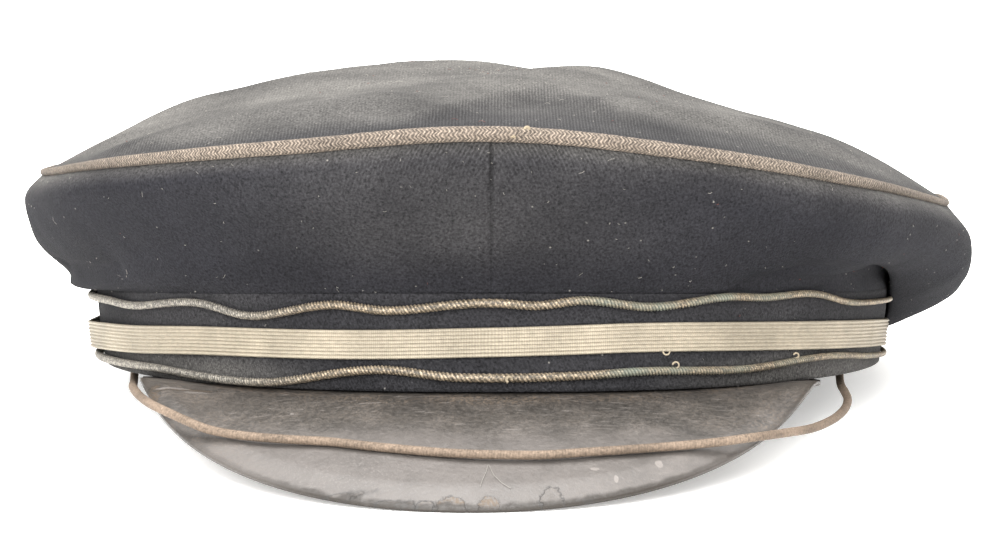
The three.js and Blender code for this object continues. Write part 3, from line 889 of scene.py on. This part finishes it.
def silk_tape():
    """Ribbed silk tape gone ivory: a soft lustre, fine cross threads, brown stain in grooves and patches."""
    colour = bpy.context.scene.cap_colours.tape
    material, shader, add = start_material("aged ribbed silk", 0.6, 0.25)
    place = add("TexCoord", output="Object")
    tape = add("Attribute", output="Vector", attribute_name="cloth")
    groove = add("Attribute", output="Fac", attribute_name="groove")
    weft = add("TexWave", {"Vector": tape, "Scale": WAVE_TURN / WEFT_SPACING, "Distortion": 1.5},
               output="Fac", bands_direction="X")
    stain = add("TexNoise", {"Vector": place, "Scale": per_mm(11.0), "Detail": 5.0})
    streak = add("TexNoise", {"Vector": place, "Scale": per_mm(0.8), "Detail": 3.0})
    clean = add("MapRange", (stain, 0.32, 0.66, 0.78, 1.1))
    woven = add("MapRange", (weft, 0.0, 1.0, 0.84, 1.06))
    fine = add("MapRange", (streak, 0.3, 0.7, 0.85, 1.1))
    light = add("Math", (clean, woven), operation="MULTIPLY")
    light = add("Math", (light, fine), operation="MULTIPLY")
    silk = add("VectorMath", {"Vector": colour, "Scale": light}, operation="SCALE")

    dirt = add("MapRange", (groove, 0.0, 1.0, 0.0, 0.34))
    along = add("SeparateXYZ", (tape,), output="X")
    from_joint = add("Math", (along, round_head(TAPE_JOINT_ANGLE)), operation="SUBTRACT")
    from_joint = add("Math", (from_joint,), operation="ABSOLUTE")
    joined = add("MapRange", (from_joint, 0.2, 0.6, 0.6, 0.0))
    dirt = add("Math", (dirt, joined), operation="MAXIMUM")
    soiled = add("Mix", {"Factor": dirt, "A": silk, "B": shade(linear(TAPE_STAIN))}, data_type="RGBA")
    bump = add("Bump", {"Height": weft, "Strength": 0.4, "Distance": 0.1 * MM})
    set_inputs(shader, {"Base Color": soiled, "Normal": bump})
    return material


def from_spot(add, place, torn, ragged, x, y, half_width, half_depth):
    """Distance from the middle of a worn spot, in shares of its half sizes, made uneven by a torn pattern."""
    centre = ((x + CAP_MIDDLE[0]) * MM, (y + CAP_MIDDLE[1]) * MM, 0.0)
    moved = add("VectorMath", (place, centre), operation="SUBTRACT")
    spread = (per_mm(half_width), per_mm(half_depth), 0.0)
    scaled = add("VectorMath", (moved, spread), operation="MULTIPLY")
    length = add("VectorMath", (scaled,), operation="LENGTH")
    return add("Math", (torn, ragged, length), operation="MULTIPLY_ADD")


def scuffed_leather():
    """Lacquered leather, dulled: dark and dusty behind, grey in front from rubbing and a painted reflection,
    scratched, with painted glints, and bare flakes ringed by a dark line, partly crack and partly painted
    shadow.
    """
    colours = bpy.context.scene.cap_colours
    material, shader, add = start_material("scuffed lacquered leather", 0.5, 0.35)
    place = add("TexCoord", output="Object")
    rubbed_and_painted_reflection, dusty, rim, glint = [
        add("Attribute", output="Fac", attribute_name=name) for name in ("rubbed_and_painted_reflection", "dust", "rim", "glint")]
    grain = add("TexNoise", {"Vector": place, "Scale": per_mm(1.0), "Detail": 4.0, "Roughness": 0.7})
    cloud = add("TexNoise", {"Vector": place, "Scale": per_mm(9.0), "Detail": 5.0, "Roughness": 0.6})
    torn = add("TexNoise", {"Vector": place, "Scale": per_mm(1.6), "Detail": 4.0, "Roughness": 0.6})
    specks = add("TexNoise", {"Vector": place, "Scale": per_mm(0.5), "Detail": 2.0})
    fine = add("TexNoise", {"Vector": place, "Scale": per_mm(0.4), "Detail": 2.0, "Roughness": 0.7})

    # Lacquer worn by rubbing in clouds, its grey front partly a painted reflection, with bronze dust and an
    # uneven grain
    clouded = add("MapRange", (cloud, 0.3, 0.7, -0.26, 0.24))
    scuff_and_painted_reflection = add("Math", (rubbed_and_painted_reflection, clouded), operation="ADD", use_clamp=True)
    lacquer = add("Mix", {"Factor": scuff_and_painted_reflection, "A": shade(colours.lacquer), "B": shade(colours.rubbed_and_painted_reflection)},
                  data_type="RGBA")
    speckle = add("MapRange", (specks, 0.4, 0.75))
    drifted = add("MapRange", (cloud, 0.35, 0.65, 0.3, 1.3))
    bronze = add("Math", (speckle, dusty), operation="MULTIPLY")
    bronze = add("Math", (bronze, drifted), operation="MULTIPLY", use_clamp=True)
    powdered = add("Mix", {"Factor": bronze, "A": lacquer, "B": shade(colours.raw_leather, 0.8)},
                   data_type="RGBA")
    mottled = add("MapRange", (grain, 0.36, 0.64, 0.78, 1.2))
    blotched = add("MapRange", (cloud, 0.34, 0.66, 0.84, 1.14))
    strength = add("Math", (mottled, blotched), operation="MULTIPLY")
    uneven = add("Math", (strength, 1.0), operation="SUBTRACT")
    calm = add("MapRange", (rubbed_and_painted_reflection, 0.0, 1.0, 1.5, 0.35))
    strength = add("Math", (uneven, calm, 1.0), operation="MULTIPLY_ADD")
    grained = add("VectorMath", {"Vector": powdered, "Scale": strength}, operation="SCALE")

    # Long scratches, and bright specks that are painted glints
    stretched = add("Mapping", {"Vector": place, "Scale": (0.16, 1.0, 1.0), "Rotation": (0.0, 0.0, 0.12)})
    lines = add("TexNoise", {"Vector": stretched, "Scale": per_mm(0.7), "Detail": 3.0})
    scratch = add("MapRange", (lines, 0.6, 0.72, 0.0, 0.42))
    sparse = add("MapRange", (fine, 0.55, 0.68))
    sown = add("MapRange", (glint, 0.0, 1.0, 0.08, 0.6))
    sparkle = add("Math", (sparse, sown), operation="MULTIPLY")
    scored = add("Math", (scratch, calm), operation="MULTIPLY", use_clamp=True)
    scratches_and_painted_glints = add("Math", (scored, sparkle), operation="MAXIMUM")

    # Flakes: bare leather within, and a dark line round the edge, partly crack and partly painted shadow of
    # the lacquer's edge
    bare = 0.0
    crack_and_painted_shadow = 0.0
    lost = 0.0
    for *spot, share in VISOR_FLAKES:
        away = from_spot(add, place, torn, 1.5, *spot)
        within = add("MapRange", (away, 1.8, 1.7))
        edge = add("Math", (away, 1.8), operation="SUBTRACT")
        edge = add("Math", (edge,), operation="ABSOLUTE")
        line = add("MapRange", (edge, 0.0, FLAKE_CRACK_AND_SHADOW / min(spot[2:]), 0.95 - 0.4 * share, 0.0))
        shown = add("Math", (within, share), operation="MULTIPLY")
        bare = add("Math", (bare, shown), operation="MAXIMUM")
        crack_and_painted_shadow = add("Math", (crack_and_painted_shadow, line), operation="MAXIMUM")
        lost = add("Math", (lost, within), operation="MAXIMUM")
    fibrous = add("MapRange", (specks, 0.38, 0.58, 0.1, 1.0))
    bare = add("Math", (bare, fibrous), operation="MULTIPLY")
    broken = add("MapRange", (cloud, 0.42, 0.55, 0.6, 1.0))
    crack_and_painted_shadow = add("Math", (crack_and_painted_shadow, broken), operation="MULTIPLY")
    chipped = 0.0
    for spot in VISOR_CHIPS:
        within = add("MapRange", (from_spot(add, place, torn, 1.2, *spot), 1.7, 1.5))
        chipped = add("Math", (chipped, within), operation="MAXIMUM")

    # What lies over the grain, in order
    worn = grained
    for share, colour in (
        (scratches_and_painted_glints, shade(colours.rubbed_and_painted_reflection, 1.9)),
        (bare, shade(colours.raw_leather, 0.5)),
        (rim, shade(colours.raw_leather, 0.1)),
        (crack_and_painted_shadow, shade(colours.lacquer, 0.35)),
        (chipped, shade(colours.rubbed_and_painted_reflection, 1.7)),
    ):
        worn = add("Mix", {"Factor": share, "A": worn, "B": colour}, data_type="RGBA")

    rough = add("MapRange", (grain, 0.3, 0.7, 0.42, 0.65))
    flaked = add("Math", (lost, -0.9, grain), operation="MULTIPLY_ADD")
    bump = add("Bump", {"Height": flaked, "Strength": 0.45, "Distance": 0.3 * MM})
    set_inputs(shader, {"Base Color": worn, "Roughness": rough, "Normal": bump})
    return material


def loose_fibre(name, colour, other):
    """Loose lint and thread: pale soft fibre, and some of another colour."""
    material, shader, add = start_material(name, 0.9, 0.1)
    tint = add("Attribute", output="Fac", attribute_name="tint")
    ends = {"A": shade(linear(colour)), "B": shade(linear(other))}
    tone = add("Mix", {"Factor": tint, **ends}, data_type="RGBA")
    set_inputs(shader, {"Base Color": tone})
    return material


def painted_floor():
    """Matt white board: an even pale ground with no shine."""
    colour = bpy.context.scene.cap_colours.floor
    material, shader, add = start_material("matt white board", 0.9, 0.5)
    place = add("TexCoord", output="Object")
    tone = add("TexNoise", {"Vector": place, "Scale": 9.0, "Detail": 2.0})
    even = add("MapRange", (tone, 0.0, 1.0, 0.985, 1.0))
    paint = add("VectorMath", {"Vector": colour, "Scale": even}, operation="SCALE")
    glow = {"Emission Color": shade(colour), "Emission Strength": FLOOR_GLOW}
    set_inputs(shader, {"Base Color": paint, **glow})
    return material


# Operators

class CAP_OT_set_stage(bpy.types.Operator):
    """Set the camera, the lights and a pale floor"""

    bl_idname = "cap.set_stage"
    bl_label = "Set the stage"

    def execute(self, context):
        scene = context.scene
        camera = bpy.data.objects.new("camera", bpy.data.cameras.new("camera"))
        camera.data.lens = CAMERA_FOCAL_PIXELS / PHOTO_WIDTH * camera.data.sensor_width
        camera.data.clip_end = 20.0
        tilt = math.radians(CAMERA_ELEVATION)
        back = np.array([0.0, -math.cos(tilt), math.sin(tilt)])
        camera.location = (CAMERA_AIM + CAP_MIDDLE + back * CAMERA_DISTANCE) * MM
        camera.rotation_euler = (math.pi / 2 - tilt, 0.0, 0.0)
        scene.collection.objects.link(camera)
        scene.camera = camera

        world = bpy.data.worlds.new("studio")
        world.use_nodes = True
        upward = add_node(world.node_tree, "TexCoord", output="Generated")
        high = add_node(world.node_tree, "SeparateXYZ", (upward,), output="Z")
        strength = add_node(world.node_tree, "MapRange", (high, 0.0, 1.0, HORIZON_LIGHT, SKY_LIGHT))
        white = (1.0, 1.0, 1.0, 1.0)
        set_inputs(world.node_tree.nodes["Background"], {"Color": white, "Strength": strength})
        scene.world = world
        for name, place, side, power in LAMPS:
            lamp = bpy.data.objects.new(name, bpy.data.lights.new(name, "AREA"))
            lamp.data.size = side
            lamp.data.energy = power
            lamp.location = place
            lamp.rotation_euler = (-Vector(place)).to_track_quat("-Z", "Y").to_euler()
            scene.collection.objects.link(lamp)
        scene.view_settings.view_transform = "Standard"

        mesh = bpy.data.meshes.new("floor")
        corners = np.array([(-1, -1), (1, -1), (1, 1), (-1, 1)]) * FLOOR_HALF_SIDE
        mesh.from_pydata([(x, y, -FLOOR_DROP * MM) for x, y in corners], [], [(0, 1, 2, 3)])
        floor = bpy.data.objects.new("floor", mesh)
        floor.data.materials.append(painted_floor())
        scene.collection.objects.link(floor)
        return {"FINISHED"}


class CAP_OT_lay_chin_cord(bpy.types.Operator):
    """Lay the chin cord over the visor: a core wound with fine thread"""

    bl_idname = "cap.lay_chin_cord"
    bl_label = "Lay the chin cord"

    def execute(self, context):
        pitch = context.scene.cap_sizes.winding_pitch / MM
        samples = 5
        sides = 12
        route = np.array(CHIN_CORD_ROUTE)
        guide = spline(route, np.linspace(0, 1, 2000))[0]
        along, whole = length_along(guide, False)
        steps = int(whole / pitch * samples)
        even = np.linspace(0, whole, steps)
        centres = np.stack([np.interp(even, along, guide[:, axis]) for axis in range(3)], 1)
        turn = ring_turns(sides)
        wind = np.cos(2 * math.pi * even[:, None] / pitch + turn[None, :])
        radius = CHIN_CORD_DIAMETER / 2 * (1 - WIND_DEPTH + WIND_DEPTH * wind)
        cord = cord_piece("chin_cord_wound", centres, carried_along(centres), radius, False,
                          {"groove": 0.5 - 0.5 * wind})
        dress(cord, wound_thread(), "chin_cord", "chin_cord")
        return {"FINISHED"}


class CAP_OT_cut_crown(bpy.types.Operator):
    """Cut the crown: two side panels and the top, in felted wool"""

    bl_idname = "cap.cut_crown"
    bl_label = "Cut the crown"

    def execute(self, context):
        wool = felted_wool("felted wool twill")
        self.side(context, "crown_left_panel", -1, wool, "crown_side_left")
        self.side(context, "crown_right_panel", 1, wool, "crown_side_right")
        self.top(context, wool)
        return {"FINISHED"}

    def side(self, context, name, side_sign, wool, node):
        slack = context.scene.cap_sizes.crown_slack / MM
        reach = np.linspace(0, 1, CROWN_HALF_STEPS + 1) ** CROWN_STEP_POWER * 180
        angle = reach if side_sign > 0 else -reach[::-1]
        share = np.linspace(0, 1, CROWN_SIDE_ROWS + 1)
        place, direction = spline(crown_section(angle), share)
        angles = np.broadcast_to(angle[:, None], place.shape[:2])
        flat = on_crown(angles, place)
        held = np.sin(math.pi * share)[None, :]
        ripple = ripples(flat, size=22.0, seed=1) + 0.45 * ripples(flat, size=8.0, seed=2)
        from_seam = np.minimum(np.abs(angles), 180 - np.abs(angles))
        groove = SEAM_GROOVE * np.exp(-((from_seam / SEAM_GROOVE_ANGLE) ** 2))
        moved = (slack * ripple - groove) * held
        for line, width, depth in CROWN_CREASES:
            moved -= depth * np.exp(-((from_line(flat, line) / width) ** 2))
        out = out_of(direction)
        outside = on_crown(angles, place + out * moved[..., None])
        outside[:, 0] = on_crown(angle, place[:, 0] - np.array([HEM_TUCK, GAP]))
        inside = on_crown(angles, place + out * (moved - CROWN_WALL)[..., None])
        round_mm = round_head(angles)
        up_mm = np.concatenate([np.zeros((len(angle), 1)),
                                np.cumsum(np.linalg.norm(np.diff(flat, axis=1), axis=2), 1)], 1)
        lean = np.sign(angles) * CROWN_TWILL_LEAN
        cloth = np.stack([round_mm + lean * up_mm, up_mm, np.zeros_like(up_mm)], -1)
        shares = np.broadcast_to(share[None, :], angles.shape)
        # Dust and painted light: painted fill light at the hem against its shade, most under the braid,
        # partly dust and partly painted light from above, and lighter patches in front and at both sides
        dust = 0.03 * (1 - smooth_step(shares, 0.1, 0.3)) + 0.6 * smooth_step(shares, 0.78, 1.0)
        dust += 0.18 * np.exp(-(((angles + 4) / 20) ** 2)) * smooth_step(shares, 0.1, 0.42)
        dust += 0.26 * smooth_step(-angles, 45, 75) * smooth_step(shares, 0.68, 0.95)
        dust += 0.13 * smooth_step(angles, 2, 14) * smooth_step(shares, 0.6, 0.92)
        ribs = 0.06 + 0.4 * np.exp(-((from_seam / 14) ** 2)) * smooth_step(shares, 0.55, 0.9)
        panel = wall_piece(name, outside, inside, attributes={"cloth": cloth, "dust": dust, "ribs": ribs})
        dress(panel, wool, "crown_wool", node)

    def top(self, context, wool):
        slack = context.scene.cap_sizes.crown_slack / MM
        angle = all_round(CROWN_TOP_STEPS)
        section, direction = spline(crown_section(angle), np.array([1.0]))
        rim = section[:, 0] + direction[:, 0] * GAP
        tuck = rim - out_of(direction[:, 0]) * CROWN_WALL
        rim_place = on_crown(angle, rim)
        from_centre = 1 - np.linspace(0, 1, CROWN_TOP_ROWS + 1)
        outside = rim_place[:, None, :] * from_centre[None, :, None]
        fall = from_centre**CROWN_TOP_POWER
        outside[..., 2] = CROWN_TOP_Z + (rim_place[:, None, 2] - CROWN_TOP_Z) * fall
        held = 1 - from_centre**TOP_FOLD_REACH
        outside[..., 2] += fold_rise(outside[..., 0], outside[..., 1]) * held
        ripple = ripples(outside, size=26.0, seed=3) + 0.4 * ripples(outside, size=9.0, seed=4)
        outside[..., 2] += slack * ripple * held
        roll = np.array(ROLL_BACK, float)
        behind = outside[..., 1] - np.interp(outside[..., 0], roll[:, 0], roll[:, 1])
        behind += 3 * ripples(outside, size=12.0, seed=10)
        before = np.minimum(behind, 0) * (outside[..., 1] < 0)
        outside[..., 2] -= ROLL_DROP * smooth_step(-before, -2, 18) * held
        # Dust: most on the flat behind the roll and less at the right; darker along the rim, partly less dust
        # and partly painted shade beside the braid
        dust = 0.14 + 0.35 * smooth_step(behind, -10, 5) + 0.45 * smooth_step(outside[..., 1], -108, -33)
        dust *= 1 - 0.25 * smooth_step(outside[..., 0], 40, 75)
        # Painted shade next to the braid, together with less dust
        dust *= 1 - 0.5 * from_centre[None, :] ** 30
        ribs = 0.14 + 0.32 * (1 - smooth_step(behind, -6, 6))
        inside = outside - np.array([0.0, 0.0, CROWN_WALL])
        inside[:, 0] = on_crown(angle, tuck)
        cloth = np.stack([outside[..., 0], outside[..., 1], np.zeros_like(outside[..., 0])], -1)
        top = wall_piece("crown_top_panel", outside, inside, wraps=True,
                         attributes={"cloth": cloth, "dust": dust, "ribs": ribs})
        # All the points at the top's middle become one
        body = bmesh.new()
        body.from_mesh(top.data)
        bmesh.ops.remove_doubles(body, verts=body.verts, dist=1e-6)
        body.to_mesh(top.data)
        body.free()
        dress(top, wool, "crown_wool", "crown_top")


class CAP_OT_sew_braid(bpy.types.Operator):
    """Sew the herringbone braid over the crown's rim"""

    bl_idname = "cap.sew_braid"
    bl_label = "Sew the braid"

    def execute(self, context):
        steps = 1400
        sides = 24
        angle = all_round(steps)
        section, direction = spline(crown_section(angle), np.array([1.0]))
        out = out_of(direction[:, 0])
        thick = BRAID_DIAMETER / 2 * (1 - BRAID_SIDE_THINNING * np.sin(np.radians(angle)) ** 2)
        side = np.sin(np.radians(angle)) ** 4
        proud = (thick * (BRAID_PROUD + (BRAID_SIDE_PROUD - BRAID_PROUD) * side))[:, None]
        centres = on_crown(angle, section[:, 0] + out * proud)
        outward = on_crown(angle, section[:, 0] + out * (proud + 1)) - centres
        along = length_along(centres, True)[0]
        lumps = 0.05 * ripples(centres, size=2.5, seed=11)
        radius = np.repeat((thick * (0.97 + lumps))[:, None], sides, 1)
        turn = ring_turns(sides)
        round_mm = np.abs(turn - math.pi) * BRAID_DIAMETER / 2
        weave = np.zeros((steps, sides, 3))
        weave[..., 0] = along[:, None]
        weave[..., 1] = round_mm[None, :]
        braid = cord_piece("crown_braid_woven", centres, outward, radius, True, {"cloth": weave})
        dress(braid, mohair_braid(), "woven_braid", "crown_braid")
        return {"FINISHED"}


class CAP_OT_sew_band(bpy.types.Operator):
    """Sew the wool band round the head"""

    bl_idname = "cap.sew_band"
    bl_label = "Sew the band"

    def execute(self, context):
        angle = all_round(BAND_STEPS)
        share = np.linspace(0, 1, BAND_ROWS + 1)
        angles, shares = np.meshgrid(angle, share, indexing="ij")
        height = shares * (band_height(angles) + SEAM_TUCK)
        flat = on_band(angles, 0.0, height)
        ripple = 0.2 * ripples(flat, size=14.0, seed=5) * np.sin(math.pi * shares)
        ripple -= 0.12 * smooth_step(height - band_height(angles), -0.3, 0.1)
        outside = on_band(angles, ripple, height)
        inside = on_band(angles, ripple - BAND_WALL, height)
        round_mm = round_head(angles)
        cloth = np.stack([round_mm + BAND_TWILL_LEAN * height, height, np.zeros_like(height)], -1)
        # Dust: along the lower edge, but not in front
        dust = 0.09 + smooth_step(np.abs(angles), 16, 40) * (0.05 + 0.46 * (1 - smooth_step(height, 3, 7)))
        ribs = np.full_like(height, 0.15)
        band = wall_piece("band_cloth", outside, inside, wraps=True,
                          attributes={"cloth": cloth, "dust": dust, "ribs": ribs})
        dress(band, felted_wool("felted wool band"), "band_wool", "band")
        return {"FINISHED"}


class CAP_OT_sew_band_cords(bpy.types.Operator):
    """Sew the two twisted metal-thread cords round the band"""

    bl_idname = "cap.sew_band_cords"
    bl_label = "Sew the band's cords"

    def execute(self, context):
        thread = tarnished_thread()
        self.cord(context, "upper_cord_twisted", UPPER_CORD_HEIGHTS, thread, "upper_cord")
        self.cord(context, "lower_cord_twisted", LOWER_CORD_HEIGHTS, thread, "lower_cord")
        return {"FINISHED"}

    def cord(self, context, name, heights, thread, node):
        pitch = context.scene.cap_sizes.cord_pitch / MM
        sides = 12
        samples = 12
        steps = round(round_head(360) / pitch) * samples
        angle = all_round(steps)
        height = around(heights)(angle)[:, 0]
        thinning = CORD_SIDE_THINNING * smooth_step(angle, -90, 0)
        thick = CORD_DIAMETER / 2 * (1 - thinning * np.sin(np.radians(angle)) ** 2)
        centres = on_band(angle, GAP + thick, height)
        outward = on_band(angle, GAP + 2 * thick, height) - centres
        turn = ring_turns(sides)
        phase = turn[None, :] - 2 * math.pi * np.arange(steps)[:, None] / samples
        lobes = np.abs(np.cos(CORD_STRANDS / 2 * phase))
        radius = thick[:, None] * (CORD_CORE + CORD_LOBE * lobes)
        cord = cord_piece(name, centres, outward, radius, True, {"groove": 1 - lobes})
        dress(cord, thread, "metallic_cord", node)


class CAP_OT_sew_tape(bpy.types.Operator):
    """Sew the ribbed tape round the band"""

    bl_idname = "cap.sew_tape"
    bl_label = "Sew the tape"

    def execute(self, context):
        ribs = context.scene.cap_sizes.tape_ribs
        rows = ribs * 6
        angle = all_round(BAND_STEPS)
        share = np.linspace(0, 1, rows + 1)
        angles, shares = np.meshgrid(angle, share, indexing="ij")
        middle = around(TAPE_HEIGHTS)(angle)[:, 0]
        off = (angles - TAPE_STAND_OFF_ANGLE) / TAPE_STAND_OFF_SPREAD
        stand = GAP + TAPE_STAND_OFF * np.exp(-off * off)
        rib = np.abs(np.sin(math.pi * ribs * shares))
        height = middle[:, None] + TAPE_WIDTH * (shares - 0.5)
        outside = on_band(angles, stand + TAPE_THICKNESS * (1 - TAPE_GROOVE + TAPE_GROOVE * rib), height)
        inside = on_band(angles, stand, height)
        round_mm = round_head(angles)
        cloth = np.stack([round_mm, height, np.zeros_like(height)], -1)
        groove = 1 - smooth_step(rib, 0.1, 0.7)
        tape = wall_piece("band_tape_ribbed", outside, inside, wraps=True,
                          attributes={"cloth": cloth, "groove": groove})
        dress(tape, silk_tape(), "ribbed_tape", "band_tape")
        return {"FINISHED"}


class CAP_OT_fit_visor(bpy.types.Operator):
    """Fit the leather visor under the band, with its worn lacquer"""

    bl_idname = "cap.fit_visor"
    bl_label = "Fit the visor"

    def execute(self, context):
        across = np.linspace(-1, 1, VISOR_STEPS + 1)
        forward = np.linspace(1, 0, VISOR_ROWS + 1) ** VISOR_ROW_POWER
        acrosses, forwards = np.meshgrid(across, forward, indexing="ij")
        top = on_visor(acrosses, forwards, VISOR_WALL)
        frayed = 0.5 * ripples(top, size=3.0, seed=6) + 0.35 * ripples(top, size=1.2, seed=7)
        span = np.linalg.norm(top[:, 0] - top[:, -1], axis=1)[:, None]
        edge_mm = (1 - forwards) * span
        # Raw edge, most chewed left of the middle
        chewed = 0.5 + 1.2 * np.exp(-(((top[..., 0] + 16) / 18) ** 2))
        rim = 1.0 - smooth_step(edge_mm + 1.4 * chewed * frayed, 0.5, 1.5)
        rim *= 1 - 0.6 * smooth_step(np.abs(top[..., 0]), 28, 48)
        # The edge is pared thin, from above in front and from below at the corners
        rounding = (VISOR_WALL - VISOR_EDGE) * (1 - smooth_step(edge_mm, 0, VISOR_PARING))
        rounding += 0.3 * np.exp(-edge_mm / 0.4)
        dents = 0.18 * ripples(top, size=11.0, seed=8) + 0.06 * ripples(top, size=3.5, seed=9)
        held = np.sin(math.pi * np.clip(forwards, 0, 1)) ** 0.5
        corner = smooth_step(np.abs(acrosses), 0.7, 0.9)
        top[..., 2] += dents * held - rounding * (1 - corner)
        under = on_visor(acrosses, forwards, 0.0)
        under[..., 2] += rounding * corner
        # Grey in front and at the corners from rubbing, in front also a painted reflection of the bright
        # surroundings; dusty near the band and at the sides
        aside = np.abs(top[..., 0])
        ahead = -top[..., 1] + 3 * ripples(top, size=9.0, seed=6)
        rubbed_and_painted_reflection = smooth_step(ahead - RUB_AND_REFLECTION_FROM + 0.1 * aside, 0, RUB_AND_REFLECTION_FULL - 0.06 * aside)
        rubbed_and_painted_reflection *= 1 - 0.2 * smooth_step(top[..., 0], 0, 36)
        rubbed_and_painted_reflection = np.maximum(rubbed_and_painted_reflection, 0.46 * smooth_step(aside, 38, 58))
        dust = 0.16 * (1 - rubbed_and_painted_reflection) + 0.6 * np.exp(-(((forwards - 0.1) / 0.06) ** 2))
        dust += 0.3 * smooth_step(aside, 36, 60)
        # Where the painted glints gather on the visor
        glint = np.exp(-np.sum(((top[..., :2] - GLINT_MIDDLE) / GLINT_SPREAD) ** 2, -1))
        visor = wall_piece("visor_leather", top, under,
                           attributes={"rubbed_and_painted_reflection": rubbed_and_painted_reflection, "dust": dust, "rim": rim, "glint": glint})
        dress(visor, scuffed_leather(), "visor_leather", "visor")
        return {"FINISHED"}


class CAP_OT_scatter_lint(bpy.types.Operator):
    """Scatter lint over the cloth, and leave loose thread ends and hairs where the photo has them"""

    bl_idname = "cap.scatter_lint"
    bl_label = "Scatter the lint"

    def execute(self, context):
        chance = np.random.default_rng(LINT_SEED)
        paths = []
        radii = []
        tints = []
        t = np.linspace(0, 1, 5)[:, None]
        for name, count in LINT_COUNTS.items():
            places, normals = self.outside_of(name)
            for pick in chance.choice(len(places), count, replace=False):
                out = normals[pick]
                along = unit(np.cross(out, chance.normal(size=3)))
                length = chance.uniform(*LINT_LENGTHS) + LINT_LONGEST_EXTRA * chance.random() ** 10
                bend = np.cross(out, along) * chance.uniform(-0.4, 0.4)
                lift = out * (0.08 + chance.uniform(0.0, 0.25) * np.sin(math.pi * t))
                paths.append(places[pick] + (along * (t - 0.5) + bend * (t - 0.5) ** 2) * length + lift)
                radii.append(chance.uniform(*LINT_RADII))
                tints.append(float(chance.random() < LINT_COLOURED_SHARE))
        visor = self.outside_of("visor_leather")[0]
        for hair in VISOR_HAIRS:
            line = spline(np.array(hair), np.linspace(0, 1, 14))[0]
            near = np.argmin(np.linalg.norm(visor[None, :, :2] - line[:, None], axis=2), 1)
            paths.append(np.column_stack([line, visor[near, 2] + HAIR_LIFT]))
            radii.append(HAIR_RADIUS)
            tints.append(0.0)
        lint = strands_piece("lint_fibres", paths, radii, tints)
        dress(lint, loose_fibre("wool lint", *LINT_COLOURS), "crown_wool")

        curls = []
        curl_radii = []
        for x, y, z, size, start, end, radius in LOOSE_THREADS:
            turn = np.radians(np.linspace(start, end, 16))
            drift = np.linspace(0, 0.4, 16)
            curls.append(np.column_stack([x + size * np.cos(turn), y - drift, z + size * np.sin(turn)]))
            curl_radii.append(radius)
        ends = strands_piece("loose_thread_ends", curls, curl_radii, np.linspace(0, 1, len(curls)))
        dress(ends, loose_fibre("loose cotton thread", *THREAD_COLOURS), "ribbed_tape")
        return {"FINISHED"}

    def outside_of(self, name):
        """Places and normals on the outside of a wall piece, whose outside points come first."""
        points = bpy.data.objects[name].data.vertices
        places = np.empty(len(points) * 3)
        normals = np.empty(len(points) * 3)
        points.foreach_get("co", places)
        points.foreach_get("normal", normals)
        half = len(points) // 2
        return places.reshape(-1, 3)[:half] / MM - CAP_MIDDLE, normals.reshape(-1, 3)[:half]


class CAP_PT_panel(bpy.types.Panel):
    """Lists the cap's sizes, colours and steps"""

    bl_label = "Worn visor cap"
    bl_idname = "CAP_PT_panel"
    bl_space_type = "VIEW_3D"
    bl_region_type = "UI"
    bl_category = "Cap"

    def draw(self, context):
        for group in (context.scene.cap_sizes, context.scene.cap_colours):
            for name in group.__annotations__:
                self.layout.prop(group, name)
        for step in STEPS:
            self.layout.operator(step.bl_idname)


STEPS = (
    CAP_OT_set_stage,
    CAP_OT_lay_chin_cord,
    CAP_OT_cut_crown,
    CAP_OT_sew_braid,
    CAP_OT_sew_band,
    CAP_OT_sew_band_cords,
    CAP_OT_sew_tape,
    CAP_OT_fit_visor,
    CAP_OT_scatter_lint,
)
CLASSES = (CapSizes, CapColours, *STEPS, CAP_PT_panel)


def register():
    for each in CLASSES:
        bpy.utils.register_class(each)
    bpy.types.Scene.cap_sizes = bpy.props.PointerProperty(type=CapSizes)
    bpy.types.Scene.cap_colours = bpy.props.PointerProperty(type=CapColours)


def unregister():
    del bpy.types.Scene.cap_colours
    del bpy.types.Scene.cap_sizes
    for each in reversed(CLASSES):
        bpy.utils.unregister_class(each)


def main():
    register()
    bpy.ops.cap.set_stage()
    bpy.ops.cap.lay_chin_cord()
    bpy.ops.cap.cut_crown()
    bpy.ops.cap.sew_braid()
    bpy.ops.cap.sew_band()
    bpy.ops.cap.sew_band_cords()
    bpy.ops.cap.sew_tape()
    bpy.ops.cap.fit_visor()
    bpy.ops.cap.scatter_lint()


if __name__ == "__main__":
    main()
